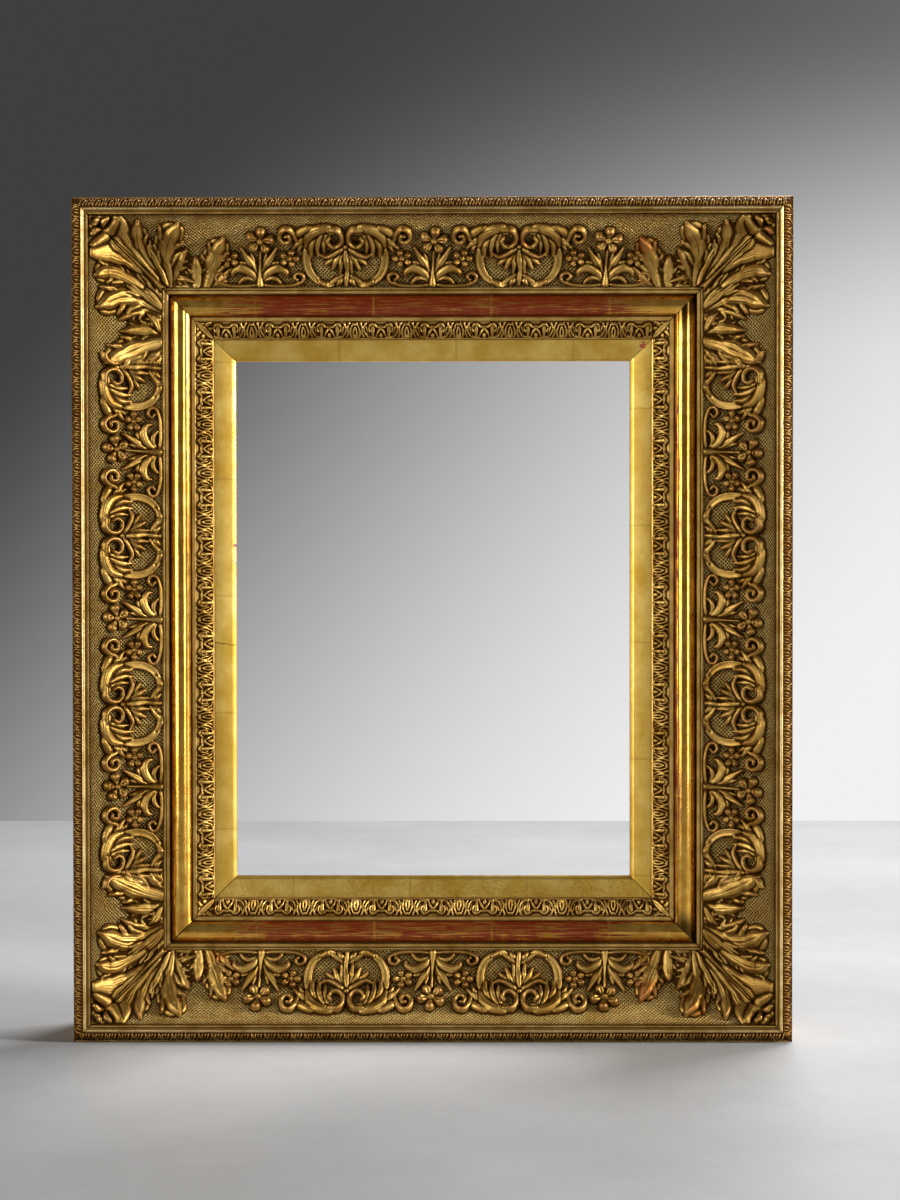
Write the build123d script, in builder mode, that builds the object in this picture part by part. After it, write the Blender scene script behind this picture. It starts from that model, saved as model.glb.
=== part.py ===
"""An ornate gilded picture frame of mitred pine sticks, with pressed ornament, turn-buttons and a brass ring."""

import os
from math import asin, atan2, cos, hypot, radians, sin

from build123d import *

os.makedirs("parts", exist_ok=True)

# Driving dimensions, in millimetres. The frame stands upright on its lower edge, and its face looks along -Y.
sight_width = 260
sight_height = 340
rail_thickness = 20
rebate_lap = 6
back_reach = 4.6

# Widths of the bands of the moulding, from the sight edge outward
sight_bevel = 2.2
slip_width = 13.8
inner_leaf_width = 11.2
inner_fillet = 2.6
torus_width = 14.4
quirk = 0.35
torus_fillet = 2.0
groove = 0.6
cove_fillet = 1.3
cove_width = 43.2
rim_fillet = 4.6
outer_leaf_width = 7.0

# Heights of the same bands above the face of the pine rails
lip_height = 3.0
bevel_height = 1.9
slip_slope = 2.2
inner_leaf_foot = 1.0
inner_leaf_rise = 6.4
inner_fillet_height = 15.2
torus_quirk_height = 13.6
torus_crest = 5.2
torus_fillet_height = 16.8
groove_depth = 0.8
cove_height = 16.2
cove_rise = 30.0
cove_sweep = 54
rim_height = 2.0
shoulder_drop = 6.2
side_recess = 1.1
overrun = 5

# Where each band ends, counted from the sight edge
slip_edge = slip_width
leaf_edge = slip_edge + inner_leaf_width
torus_start = leaf_edge + inner_fillet + quirk
torus_end = torus_start + torus_width
torus_fillet_edge = torus_end + quirk + torus_fillet
cove_fillet_start = torus_fillet_edge + groove
cove_start = cove_fillet_start + cove_fillet
cove_end = cove_start + cove_width
rim_edge = cove_end + rim_fillet
moulding_width = rim_edge + outer_leaf_width
side_edge = moulding_width - side_recess

outer_width = sight_width + 2 * moulding_width
outer_height = sight_height + 2 * moulding_width
rim_level = rail_thickness + cove_height + cove_rise + rim_height
back_y = (rim_level - back_reach) / 2

# The cove is one arc, hollow towards the front. Its centre carries every ornament that is pressed onto it.
cove_chord = hypot(cove_width, cove_rise)
cove_radius = cove_chord / (2 * sin(radians(cove_sweep / 2)))
cove_sagitta = cove_radius * (1 - cos(radians(cove_sweep / 2)))
cove_reach = cove_radius - cove_sagitta
cove_centre = (
    cove_start + cove_width / 2 - cove_reach * cove_rise / cove_chord,
    rail_thickness + cove_height + cove_rise / 2 + cove_reach * cove_width / cove_chord,
)

# Each side of the frame has a plane on the back of its rail, at the middle of the sight edge:
# x runs along the rail, y outward from the sight edge and z towards the front.
forward = Vector(0, -1, 0)
sides = ("top", "right", "bottom", "left")
outward = {"top": Vector(0, 0, 1), "right": Vector(1, 0, 0), "bottom": Vector(0, 0, -1), "left": Vector(-1, 0, 0)}
along = {"top": Vector(1, 0, 0), "right": Vector(0, 0, -1), "bottom": Vector(-1, 0, 0), "left": Vector(0, 0, 1)}
half_run = {"top": sight_width / 2, "right": sight_height / 2, "bottom": sight_width / 2, "left": sight_height / 2}
half_sight = {"top": sight_height / 2, "right": sight_width / 2, "bottom": sight_height / 2, "left": sight_width / 2}
frame_centre = Vector(0, back_y, outer_height / 2)
sight_middle = {side: frame_centre + outward[side] * half_sight[side] for side in sides}
rail_plane = {side: Plane(origin=sight_middle[side], x_dir=along[side], z_dir=forward) for side in sides}
section_plane = {side: Plane(origin=sight_middle[side], x_dir=outward[side], z_dir=along[side]) for side in sides}


def finish(piece, name):
    """Labels a finished piece and writes it under its own name."""
    piece.part.label = name
    export_step(piece.part, f"parts/{name}.step")


def stick(side, section):
    """One mitred stick of the frame, whose section is drawn as outward and forward distances."""
    with BuildPart() as run:
        with BuildSketch(section_plane[side]):
            add(section)
        extrude(amount=half_run[side] + moulding_width + overrun, both=True)
        for way in (1, -1):
            corner = sight_middle[side] + along[side] * (way * half_run[side])
            mitre = Plane(origin=corner, z_dir=along[side] * way - outward[side])
            split(bisect_by=mitre, keep=Keep.BOTTOM)
    return run.part


# Section of the pine rail, which stops short of the sight edge and so leaves the rebate for the picture
with BuildSketch() as rail_section:
    with Locations((rebate_lap, 0)):
        Rectangle(moulding_width - rebate_lap, rail_thickness, align=(Align.MIN, Align.MIN))

# Section of the sight slip, with its bevelled lip over the rebate
lip_level = rail_thickness + lip_height
bevel_level = lip_level + bevel_height
slip_level = bevel_level + slip_slope
with BuildSketch() as slip_section:
    with BuildLine():
        Polyline(
            (0, rail_thickness),
            (0, lip_level),
            (sight_bevel, bevel_level),
            (slip_edge, slip_level),
            (slip_edge, rail_thickness),
            close=True,
        )
    make_face()

# Section of the moulding: the seat of the inner leaf, a burnished torus between fillets, the cove and the rim
leaf_foot_level = slip_level + inner_leaf_foot
leaf_top_level = leaf_foot_level + inner_leaf_rise
inner_fillet_level = rail_thickness + inner_fillet_height
quirk_level = rail_thickness + torus_quirk_height
torus_fillet_level = rail_thickness + torus_fillet_height
groove_level = torus_fillet_level - groove_depth
cove_fillet_level = torus_fillet_level
cove_level = rail_thickness + cove_height
cove_top_level = cove_level + cove_rise
shoulder_level = rim_level - shoulder_drop
with BuildSketch() as moulding_section:
    with BuildLine():
        Polyline(
            (slip_edge, rail_thickness),
            (slip_edge, leaf_foot_level),
            (leaf_edge, leaf_top_level),
            (leaf_edge, inner_fillet_level),
            (leaf_edge + inner_fillet, inner_fillet_level),
            (leaf_edge + inner_fillet, quirk_level),
            (torus_start, quirk_level),
        )
        SagittaArc((torus_start, quirk_level), (torus_end, quirk_level), torus_crest)
        Polyline(
            (torus_end, quirk_level),
            (torus_end + quirk, quirk_level),
            (torus_end + quirk, torus_fillet_level),
            (torus_fillet_edge, torus_fillet_level),
            (torus_fillet_edge, groove_level),
            (cove_fillet_start, groove_level),
            (cove_fillet_start, cove_fillet_level),
            (cove_start, cove_fillet_level),
            (cove_start, cove_level),
        )
        SagittaArc((cove_start, cove_level), (cove_end, cove_top_level), -cove_sagitta)
        Polyline(
            (cove_end, cove_top_level),
            (cove_end, rim_level),
            (rim_edge, rim_level),
            (rim_edge, rim_level - rim_height),
            (side_edge, shoulder_level),
            (side_edge, rail_thickness),
            (slip_edge, rail_thickness),
        )
    make_face()

# Section of the inner leaf strip: a low swelling ogee over its sloping seat
leaf_swell = 1.5
leaf_edge_height = 1.2
with BuildSketch() as inner_leaf_section:
    with BuildLine():
        Line((slip_edge, leaf_foot_level), (slip_edge, leaf_foot_level + leaf_edge_height))
        SagittaArc(
            (slip_edge, leaf_foot_level + leaf_edge_height),
            (leaf_edge, leaf_top_level + leaf_edge_height),
            leaf_swell,
        )
        Polyline(
            (leaf_edge, leaf_top_level + leaf_edge_height),
            (leaf_edge, leaf_top_level),
            (slip_edge, leaf_foot_level),
        )
    make_face()

# Section of the outer leaf strip, which rounds the rim over to the side
strip_drop = 1.5
strip_swell = 1.3
strip_level = rim_level - rim_height
with BuildSketch() as outer_leaf_section:
    with BuildLine():
        Line((rim_edge, strip_level), (rim_edge, rim_level))
        SagittaArc((rim_edge, rim_level), (moulding_width, shoulder_level), strip_swell)
        Polyline(
            (moulding_width, shoulder_level),
            (moulding_width, shoulder_level - strip_drop),
            (side_edge, shoulder_level - strip_drop),
            (side_edge, shoulder_level),
            (rim_edge, strip_level),
        )
    make_face()

# Butterfly keys, let into the back across each mitre
key_length = 46
key_end = 18
key_waist = 9
key_depth = 5
key_place = moulding_width / 2
with BuildSketch() as key_outline:
    with BuildLine():
        Polyline(
            (-key_length / 2, -key_end / 2),
            (0, -key_waist / 2),
            (key_length / 2, -key_end / 2),
            (key_length / 2, key_end / 2),
            (0, key_waist / 2),
            (-key_length / 2, key_end / 2),
            close=True,
        )
    make_face()


def corner_plane(side):
    """The corner at the end of a side's run: x and y both run outward from the sight corner, z to the front."""
    corner = sight_middle[side] + along[side] * half_run[side]
    return Plane(origin=corner, x_dir=along[side], z_dir=forward)


def key_plane(side):
    """The back of a corner, turned so that x crosses the mitre."""
    corner = corner_plane(side)
    middle = corner.from_local_coords((key_place, key_place, 0))
    return Plane(origin=middle, x_dir=corner.x_dir - corner.y_dir, z_dir=forward)


with BuildPart() as corner_keys:
    for side in sides:
        with BuildSketch(key_plane(side)):
            add(key_outline.sketch)
        extrude(amount=key_depth)
finish(corner_keys, "corner_keys")

# Screws of the turn-buttons and the hanger, all alike
screw_radius = 1.6
screw_length = 13
screw_head_radius = 3.3
screw_head_height = 1.6
pilot_clearance = 0.05
plate_thickness = 1.2
running_gap = 0.3
head_seat = running_gap + plate_thickness + running_gap
button_inset = 16
button_places = {side: rail_plane[side].from_local_coords((0, button_inset, 0)) for side in sides}

# The brass ring hangs from a knuckle in the middle of the top rail's back
hanger_inset = 62
knuckle_radius = 2.3
knuckle_length = 11
strap_length = 13
ring_wire = 1.1
ring_half = 9.4
ring_leg = 8
ring_fit = 0.1
bow_sides = 8
bow_stretches = 8
hinge_point = rail_plane["top"].from_local_coords((0, hanger_inset, -knuckle_radius))
strap_hole_drop = 8.4
hanger_screw_place = Vector(0, back_y, hinge_point.Z - strap_hole_drop)
screw_places = [*button_places.values(), hanger_screw_place]
backward = Vector(0, 1, 0)

# Pine rails, with the pockets of the keys and the pilot holes of the screws
for side in sides:
    with BuildPart() as rail:
        add(stick(side, rail_section.sketch))
        for corner in sides:
            with BuildSketch(key_plane(corner)):
                add(key_outline.sketch)
            extrude(amount=key_depth, mode=Mode.SUBTRACT)
        for place in screw_places:
            with BuildSketch(Plane(origin=place, z_dir=forward)):
                Circle(screw_radius + pilot_clearance)
            extrude(amount=screw_length + pilot_clearance, mode=Mode.SUBTRACT)
    finish(rail, f"rail_{side}")

for side in sides:
    with BuildPart() as moulding:
        add(stick(side, moulding_section.sketch))
    finish(moulding, f"moulding_{side}")

for side in sides:
    with BuildPart() as slip:
        add(stick(side, slip_section.sketch))
    finish(slip, f"sight_slip_{side}")

for side in sides:
    with BuildPart() as strip:
        add(stick(side, inner_leaf_section.sketch))
    finish(strip, f"inner_leaf_strip_{side}")

for side in sides:
    with BuildPart() as strip:
        add(stick(side, outer_leaf_section.sketch))
    finish(strip, f"outer_leaf_strip_{side}")


# Ornament is drawn on a plane laid over the cove from edge to edge: x along the rail, y from the inner edge
# to the outer edge, z out of the hollow. It is bedded on flats that span the hollow and touch it where they meet,
# and its outlines run in straight stretches, so that every cast piece is bounded by planes.
cove_lean = atan2(cove_rise, cove_width)
cove_plane = Plane(origin=(0, cove_start, cove_level), x_dir=(1, 0, 0), z_dir=(0, -sin(cove_lean), cos(cove_lean)))
bed_flats = 3


def across(share):
    """How far over the cove a place lies that is seen from the front at a share of the cove's width."""
    turn = asin((cove_start + share * cove_width - cove_centre[0]) / cove_radius) - cove_lean
    return cove_chord / 2 + cove_radius * sin(turn)


def bed_points(thickness):
    """Corners of the flats at a height over the cove, from its inner edge to its outer edge."""
    half_turn = radians(cove_sweep / bed_flats / 2)
    reach = cove_radius - thickness / cos(half_turn)
    turns = [half_turn * (2 * step - bed_flats) for step in range(bed_flats + 1)]
    return [(cove_chord / 2 + reach * sin(turn), cove_reach - reach * cos(turn)) for turn in turns]


def pressed(outline, thickness):
    """An outline drawn over the cove, pressed onto it as an ornament of even thickness."""
    with BuildPart() as ornament:
        with BuildSketch(Plane.XY.offset(-cove_sagitta)):
            add(outline)
        extrude(amount=cove_chord)
        with BuildSketch(Plane.YZ):
            with BuildLine():
                Polyline(*bed_points(0), *reversed(bed_points(thickness)), close=True)
            make_face()
        extrude(amount=outer_height, both=True, mode=Mode.INTERSECT)
    return ornament.part


def bend(start, middle, end, stretches):
    """Points of the arc through three places, from its start to its end."""
    arc = ThreePointArc(start, middle, end, mode=Mode.PRIVATE)
    return [arc @ (step / stretches) for step in range(stretches + 1)]


def leaf(base, tip, width, widest_share=0.62, root_share=0.35, tip_share=0.7):
    """A pointed leaf from base to tip, widest towards its tip."""
    run = tip - base
    half = run.rotate(Axis.Z, 90).normalized() * (width / 2)
    widest = base + run * widest_share
    shoulder = base + run * (1 + widest_share) / 2
    with BuildSketch() as outline:
        with BuildLine():
            Polyline(
                base - half * root_share,
                widest - half,
                shoulder - half * tip_share,
                tip,
                shoulder + half * tip_share,
                widest + half,
                base + half * root_share,
                close=True,
            )
        make_face()
    return outline.sketch


def blade(base, tip, width, widest_share=0.6):
    """A narrow blade from base to tip."""
    run = tip - base
    half = run.rotate(Axis.Z, 90).normalized() * (width / 2)
    widest = base + run * widest_share
    with BuildSketch() as outline:
        with BuildLine():
            Polyline(base, widest - half, tip, widest + half, close=True)
        make_face()
    return outline.sketch


def flower(centre, radius, petals=5):
    """A flower of pointed petals with notches between them."""
    step = 360 / petals
    corners = []
    for petal in range(petals):
        corners.append(centre + Vector(0, radius).rotate(Axis.Z, step * petal))
        corners.append(centre + Vector(0, radius * petal_notch_share).rotate(Axis.Z, step * (petal + 0.5)))
    with BuildSketch() as outline:
        with BuildLine():
            Polyline(*corners, close=True)
        make_face()
    return outline.sketch


# Cartouches and sprays alternate between the corner leaves at an even pitch. On the upright sides the last
# cartouche is trimmed near its middle, and on the level sides the last spray beside its top flower.
corner_reach = 105
corner_gap = 0.4
cartouche_inset = 1.9
spray_inset = 13.5
free_run = {side: half_run[side] + moulding_width - corner_reach - corner_gap for side in sides}
upright_pitch = (free_run["left"] - cartouche_inset) / 1.5
level_pitch = free_run["top"] - spray_inset
pitch = {"top": level_pitch, "right": upright_pitch, "bottom": level_pitch, "left": upright_pitch}
ornament_run = min(upright_pitch, level_pitch)

# Heights of the pressed ornament over the cove
strap_thickness = 2.2
leaf_thickness = 3.4
boss_thickness = 4.8
boss_sides = 5
petal_notch_share = 0.6

# The cartouche: two straps, two volutes with their plumes, and a hanging palmette
cartouche_half = 0.2486 * ornament_run
volute_eye = 2.2
rosette_radius = 3.9
clasp_radius = 2.7


def in_cartouche(run_share, cove_share):
    """A place on the right half of the cartouche."""
    return Vector(run_share * cartouche_half, across(cove_share))


with BuildSketch() as straps:
    with BuildLine():
        Polyline(
            *bend(in_cartouche(0.95, 0.62), in_cartouche(1.0, 0.36), in_cartouche(0.53, 0.02), 3),
            *bend(in_cartouche(0.38, 0.06), in_cartouche(0.82, 0.37), in_cartouche(0.77, 0.62), 2),
            close=True,
        )
    make_face()
    mirror(about=Plane.YZ)

with BuildSketch() as plumes:
    with BuildLine():
        Polyline(
            in_cartouche(0.0, 0.78),
            in_cartouche(0.16, 0.86),
            in_cartouche(0.50, 0.89),
            in_cartouche(0.90, 0.85),
            in_cartouche(1.32, 0.74),
            in_cartouche(1.11, 0.56),
            in_cartouche(0.63, 0.49),
            in_cartouche(0.52, 0.64),
            in_cartouche(0.14, 0.60),
            in_cartouche(0.23, 0.48),
            in_cartouche(0.57, 0.45),
            in_cartouche(0.46, 0.35),
            in_cartouche(0.20, 0.36),
            in_cartouche(0.06, 0.22),
            in_cartouche(0.34, 0.05),
            in_cartouche(0.0, 0.04),
            close=True,
        )
    make_face()
    with Locations(in_cartouche(0.33, 0.71)):
        RegularPolygon(volute_eye, boss_sides, mode=Mode.SUBTRACT)
    mirror(about=Plane.YZ)

with BuildSketch() as bosses:
    for place, radius in (
        (in_cartouche(1.36, 0.71), rosette_radius),
        (in_cartouche(0.44, 0.08), clasp_radius),
    ):
        with Locations(place):
            RegularPolygon(radius, boss_sides)
    mirror(about=Plane.YZ)

with BuildPart() as cartouche:
    add(pressed(straps.sketch, strap_thickness))
    add(pressed(plumes.sketch, leaf_thickness))
    add(pressed(bosses.sketch, boss_thickness))

# The spray: three flowers over a fan of leaves, with beads at the ends of two thin scrolls
spray_half = 0.256 * ornament_run
top_flower = 7.0
side_flower = 5.2
side_petals = 4
bead_radius = 3.0


def in_spray(run_share, cove_share):
    """A place on the right half of the spray."""
    return Vector(run_share * spray_half, across(cove_share))


with BuildSketch() as fan:
    with BuildLine():
        Polyline(
            in_spray(0.0, 0.66),
            in_spray(0.06, 0.34),
            in_spray(0.38, 0.62),
            in_spray(0.22, 0.25),
            in_spray(0.68, 0.47),
            in_spray(0.70, 0.39),
            in_spray(0.22, 0.19),
            in_spray(0.60, 0.27),
            in_spray(0.46, 0.13),
            in_spray(0.16, 0.11),
            in_spray(0.92, 0.08),
            in_spray(0.90, 0.03),
            in_spray(0.0, 0.02),
            close=True,
        )
    make_face()
    mirror(about=Plane.YZ)

with BuildSketch() as blossoms:
    add(flower(in_spray(0.71, 0.43), side_flower, side_petals))
    with Locations(in_spray(0.91, 0.10)):
        RegularPolygon(bead_radius, boss_sides)
    mirror(about=Plane.YZ)
    add(flower(in_spray(0.0, 0.67), top_flower))

with BuildPart() as spray:
    add(pressed(fan.sketch, leaf_thickness))
    add(pressed(blossoms.sketch, boss_thickness))

# The corner leaf: a rib on the mitre, a fan that opens from it, and leaves that spring from the foot of the cove.
# One half is drawn over the cove of one rail, in distances from the outer corner, and mirrored in the mitre.
side_leaf_width = 6.6
great_leaf_width = 14
far_leaf_width = 13
rib_half = 2.8
crown_radius = 7.5
crown_share = 0.78
corner_thickness = 4.6
great_thickness = 5.8
rib_thickness = 7.0


def in_corner(run_share, cove_share):
    """A place over the cove, at a share of the corner leaf's reach from the outer corner."""
    return Vector(moulding_width - run_share * corner_reach, across(cove_share))


def by_mitre(cove_share, distance):
    """A place over the cove, at a distance from the mitre towards the middle of the rail."""
    return Vector(cove_start + cove_share * cove_width - distance, across(cove_share))


with BuildSketch() as corner_fan:
    with BuildLine():
        Polyline(
            in_corner(0.535, 0.02),
            in_corner(0.47, 0.38),
            in_corner(0.50, 0.80),
            in_corner(0.475, 0.97),
            in_corner(0.42, 0.82),
            in_corner(0.34, 0.985),
            in_corner(0.31, 0.86),
            in_corner(0.20, 0.62),
            in_corner(0.40, 0.02),
            close=True,
        )
    make_face()
    with BuildLine():
        Polyline(
            in_corner(0.92, 0.02),
            in_corner(0.998, 0.33),
            in_corner(0.86, 0.14),
            in_corner(0.60, 0.20),
            in_corner(0.50, 0.20),
            in_corner(0.50, 0.02),
            close=True,
        )
    make_face()
    add(blade(in_corner(0.60, 0.06), in_corner(0.448, 0.68), side_leaf_width))
    add(blade(in_corner(0.65, 0.12), in_corner(0.735, 0.60), side_leaf_width))
    add(blade(in_corner(0.83, 0.04), in_corner(0.80, 0.60), side_leaf_width))

with BuildSketch() as great_leaves:
    add(leaf(in_corner(0.645, 0.04), in_corner(0.652, 0.95), great_leaf_width))
    add(leaf(in_corner(0.885, 0.04), in_corner(0.965, 0.83), far_leaf_width))

with BuildSketch() as rib:
    with BuildLine():
        Polyline(
            by_mitre(0.03, rib_half),
            by_mitre(crown_share, rib_half),
            by_mitre(crown_share, -rib_half),
            by_mitre(0.03, -rib_half),
            close=True,
        )
    make_face()
    with Locations(by_mitre(crown_share, 0)):
        RegularPolygon(crown_radius, boss_sides + 1)

# The mitre as seen from the corner's own plane, and the cove of the rail that carries the drawn half
corner_mitre = Plane(origin=(0, 0, 0), z_dir=(1, -1, 0))
with BuildPart() as corner_half:
    with Locations(cove_plane):
        add(pressed(corner_fan.sketch, corner_thickness))
        add(pressed(great_leaves.sketch, great_thickness))
        add(pressed(rib.sketch, rib_thickness))
    split(bisect_by=corner_mitre, keep=Keep.BOTTOM)

with BuildPart() as corner_leaf:
    add(corner_half)
    mirror(about=corner_mitre)

# Steps of the ornaments from the middle of their rail, in pitches
upright_cartouches = (-1.5, -0.5, 0.5, 1.5)
level_cartouches = (-0.5, 0.5)
cartouche_steps = {"top": level_cartouches, "right": upright_cartouches}
cartouche_steps |= {"bottom": level_cartouches, "left": upright_cartouches}
spray_steps = (-1, 0, 1)


def set_on_rail(side, ornament, step):
    """A copy of an ornament on a side, that many pitches from its middle, trimmed at the corner leaves."""
    place = rail_plane[side].location * Location((step * pitch[side], 0, 0)) * cove_plane.location
    with BuildPart() as placed:
        with Locations(place):
            add(ornament)
        for way in (1, -1):
            end = sight_middle[side] + along[side] * (way * free_run[side])
            split(bisect_by=Plane(origin=end, z_dir=along[side] * way), keep=Keep.BOTTOM)
    return placed.part


for side in sides:
    for number, step in enumerate(cartouche_steps[side], start=1):
        with BuildPart() as placed_cartouche:
            add(set_on_rail(side, cartouche, step))
        finish(placed_cartouche, f"cartouche_{side}_{number}")

for side in sides:
    for number, step in enumerate(spray_steps, start=1):
        with BuildPart() as placed_spray:
            add(set_on_rail(side, spray, step))
        finish(placed_spray, f"flower_spray_{side}_{number}")

corner_names = {"top": "top_right", "right": "bottom_right", "bottom": "bottom_left", "left": "top_left"}
for side in sides:
    with BuildPart() as placed_leaf:
        with Locations(corner_plane(side).location):
            add(corner_leaf)
    finish(placed_leaf, f"corner_leaf_{corner_names[side]}")

# Turn-buttons that hold the picture in its rebate. At rest each lies along its rail, clear of the empty rebate.
button_half = 4.6
button_tip_half = 3.4
button_reach = 14.5
button_corner = 1.8
screw_fit = 0.1

for side in sides:
    place = Plane(
        origin=button_places[side] + backward * running_gap,
        x_dir=along[side],
        z_dir=backward,
    )
    with BuildPart() as button:
        with BuildSketch(place) as blade_outline:
            with BuildLine():
                Polyline(
                    (-button_half, -button_half),
                    (button_reach, -button_tip_half),
                    (button_reach, button_tip_half),
                    (-button_half, button_half),
                    close=True,
                )
            make_face()
            chamfer(blade_outline.vertices(), button_corner)
            Circle(screw_radius + screw_fit, mode=Mode.SUBTRACT)
        extrude(amount=plate_thickness)
    finish(button, f"turn_button_{side}")

with BuildPart() as screws:
    for place in screw_places:
        head_height = plate_thickness if place == hanger_screw_place else head_seat
        with BuildSketch(Plane(origin=place, x_dir=forward, z_dir=Vector(1, 0, 0))):
            with BuildLine():
                Polyline(
                    (-head_height - screw_head_height, 0),
                    (-head_height - screw_head_height, screw_head_radius),
                    (-head_height, screw_head_radius),
                    (-head_height, screw_radius),
                    (screw_length, screw_radius),
                    (screw_length, 0),
                    close=True,
                )
            make_face()
        revolve(axis=Axis(place, forward))
finish(screws, "screws")

# The hanger: a strap folded round the bar of the ring, flat on the back of the top rail
hinge_section = Plane(origin=hinge_point, x_dir=backward, z_dir=Vector(-1, 0, 0))
with BuildPart() as hanger_plate:
    with BuildSketch(hinge_section):
        Circle(knuckle_radius)
        with Locations((-knuckle_radius, 0)):
            Rectangle(plate_thickness, strap_length, align=(Align.MIN, Align.MIN))
    extrude(amount=knuckle_length / 2, both=True)
    with BuildSketch(hinge_section):
        Circle(ring_wire + ring_fit)
    extrude(amount=knuckle_length, both=True, mode=Mode.SUBTRACT)
    with BuildSketch(Plane(origin=hanger_screw_place, z_dir=backward)):
        Circle(screw_radius + screw_fit)
    extrude(amount=knuckle_radius * 2, mode=Mode.SUBTRACT)
finish(hanger_plate, "hanger_plate")

ring_plane = Plane(origin=hinge_point, x_dir=Vector(1, 0, 0), z_dir=forward)
with BuildPart() as hanger_ring:
    with BuildSketch(Plane(origin=hinge_point, z_dir=Vector(1, 0, 0))):
        Circle(ring_wire)
    extrude(amount=ring_half, both=True)
    with BuildLine(ring_plane) as bow:
        half_round = bend((-ring_half, -ring_leg), (0, -ring_leg - ring_half), (ring_half, -ring_leg), bow_stretches)
        Polyline((-ring_half, 0), *half_round, (ring_half, 0))
    with BuildSketch(Plane(origin=bow.line @ 0, z_dir=bow.line % 0)):
        RegularPolygon(ring_wire, bow_sides)
    sweep(path=bow.line, transition=Transition.RIGHT)
finish(hanger_ring, "hanger_ring")
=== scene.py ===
# %% [markdown]
# # A gilded picture frame
# The object is a picture frame of the later 19th century: mitred pine rails, a wide moulding that rises towards the
# outside, and pressed ornament in its hollow, all covered with gold leaf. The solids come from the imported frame.
# Here they get their looks: smooth mouldings, carved-looking relief, gilding over red bole, and a studio.

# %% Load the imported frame
from math import asin, atan2, cos, hypot, pi, radians, sin

import bmesh
import bpy
import numpy as np
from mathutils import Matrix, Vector


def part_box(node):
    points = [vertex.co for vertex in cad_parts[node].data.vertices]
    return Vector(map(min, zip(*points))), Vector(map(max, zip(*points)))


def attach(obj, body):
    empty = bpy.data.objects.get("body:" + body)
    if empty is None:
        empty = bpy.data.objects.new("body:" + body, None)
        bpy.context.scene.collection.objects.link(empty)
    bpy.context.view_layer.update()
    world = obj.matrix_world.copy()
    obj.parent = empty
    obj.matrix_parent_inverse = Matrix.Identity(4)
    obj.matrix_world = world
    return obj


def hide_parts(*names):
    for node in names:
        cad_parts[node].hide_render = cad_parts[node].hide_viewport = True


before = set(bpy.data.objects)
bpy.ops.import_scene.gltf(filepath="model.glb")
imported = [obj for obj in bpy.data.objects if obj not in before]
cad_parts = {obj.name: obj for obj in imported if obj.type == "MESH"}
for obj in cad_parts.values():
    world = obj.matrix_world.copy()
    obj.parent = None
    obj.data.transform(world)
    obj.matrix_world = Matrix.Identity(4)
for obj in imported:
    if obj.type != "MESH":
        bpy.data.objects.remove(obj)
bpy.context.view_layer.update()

# %% [markdown]
# ## The sizes of the moulding
# A frame maker thinks in bands from the sight edge outward, and in heights over the face of the pine rail. All
# ornament is placed by those bands, so they come first, in millimetres. Two of them are read back from the packed
# solids as a test.

# %% Band sizes
MM = 0.001
sight_width, sight_height = 260, 340
rail_thickness = 20
slip_edge, sight_bevel = 13.8, 2.2
leaf_edge, inner_fillet = 25.0, 2.6
torus_start, torus_width, quirk = 27.95, 14.4, 0.35
torus_end = torus_start + torus_width
torus_fillet_edge, cove_fillet_start = 44.7, 45.3
cove_start, cove_end, rim_edge = 46.6, 89.8, 94.4
moulding_width, side_edge = 101.4, 100.3
lip_level, bevel_level, slip_level = 23.0, 24.9, 27.1
leaf_foot_level, leaf_top_level = 28.1, 34.5
inner_fillet_level, quirk_level, torus_crest = 35.2, 33.6, 5.2
torus_fillet_level, groove_level = 36.8, 36.0
cove_level, cove_top_level, rim_level = 36.2, 66.2, 68.2
shoulder_level, strip_drop = 62.0, 1.5
cove_sweep = radians(54)
back_y = 31.8
outer_height = sight_height + 2 * moulding_width
box_low, box_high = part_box("moulding_top")
packed_height = (box_high[2] - box_low[2]) / MM
print("height of the packed moulding", round(packed_height, 2), "here", round(side_edge - slip_edge, 2))
print("front of the packed moulding", round(box_low[1] / MM, 2), "here", round(back_y - rim_level, 2))

# %% [markdown]
# ## Places on a rail
# Every rail is described in the same three numbers: the run along it from its middle, the distance outward from the
# sight edge, and the level above its back. One function turns them into the frame's own coordinates.

# %% From rail to frame
sides = ("top", "right", "bottom", "left")
outward = {"top": (0, 0, 1), "right": (1, 0, 0), "bottom": (0, 0, -1), "left": (-1, 0, 0)}
along = {"top": (1, 0, 0), "right": (0, 0, -1), "bottom": (-1, 0, 0), "left": (0, 0, 1)}
level_sides, upright_sides = ("top", "bottom"), ("left", "right")
half_run = {side: (sight_width if side in level_sides else sight_height) / 2 for side in sides}
half_sight = {side: (sight_height if side in level_sides else sight_width) / 2 for side in sides}


def on_rail(side, run, out, level):
    """Places in metres for runs, outward distances and levels in millimetres."""
    run, out, level = np.broadcast_arrays(run, out, level)
    place = np.array((0.0, back_y, outer_height / 2)) + run[..., None] * np.array(along[side])
    place = place + (half_sight[side] + out)[..., None] * np.array(outward[side])
    return (place - level[..., None] * np.array((0.0, 1.0, 0.0))) * MM


# The cove is one arc. Its centre lies in front of the frame, and the arc's length is the ruler across it.
cove_chord = hypot(cove_end - cove_start, cove_top_level - cove_level)
cove_radius = cove_chord / (2 * sin(cove_sweep / 2))
cove_lean = atan2(cove_top_level - cove_level, cove_end - cove_start)
cove_reach = cove_radius * cos(cove_sweep / 2)
cove_centre_out = (cove_start + cove_end) / 2 - cove_reach * sin(cove_lean)
cove_centre_level = (cove_level + cove_top_level) / 2 + cove_reach * cos(cove_lean)
first_turn = asin((cove_start - cove_centre_out) / cove_radius)
cove_length = cove_radius * cove_sweep


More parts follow.
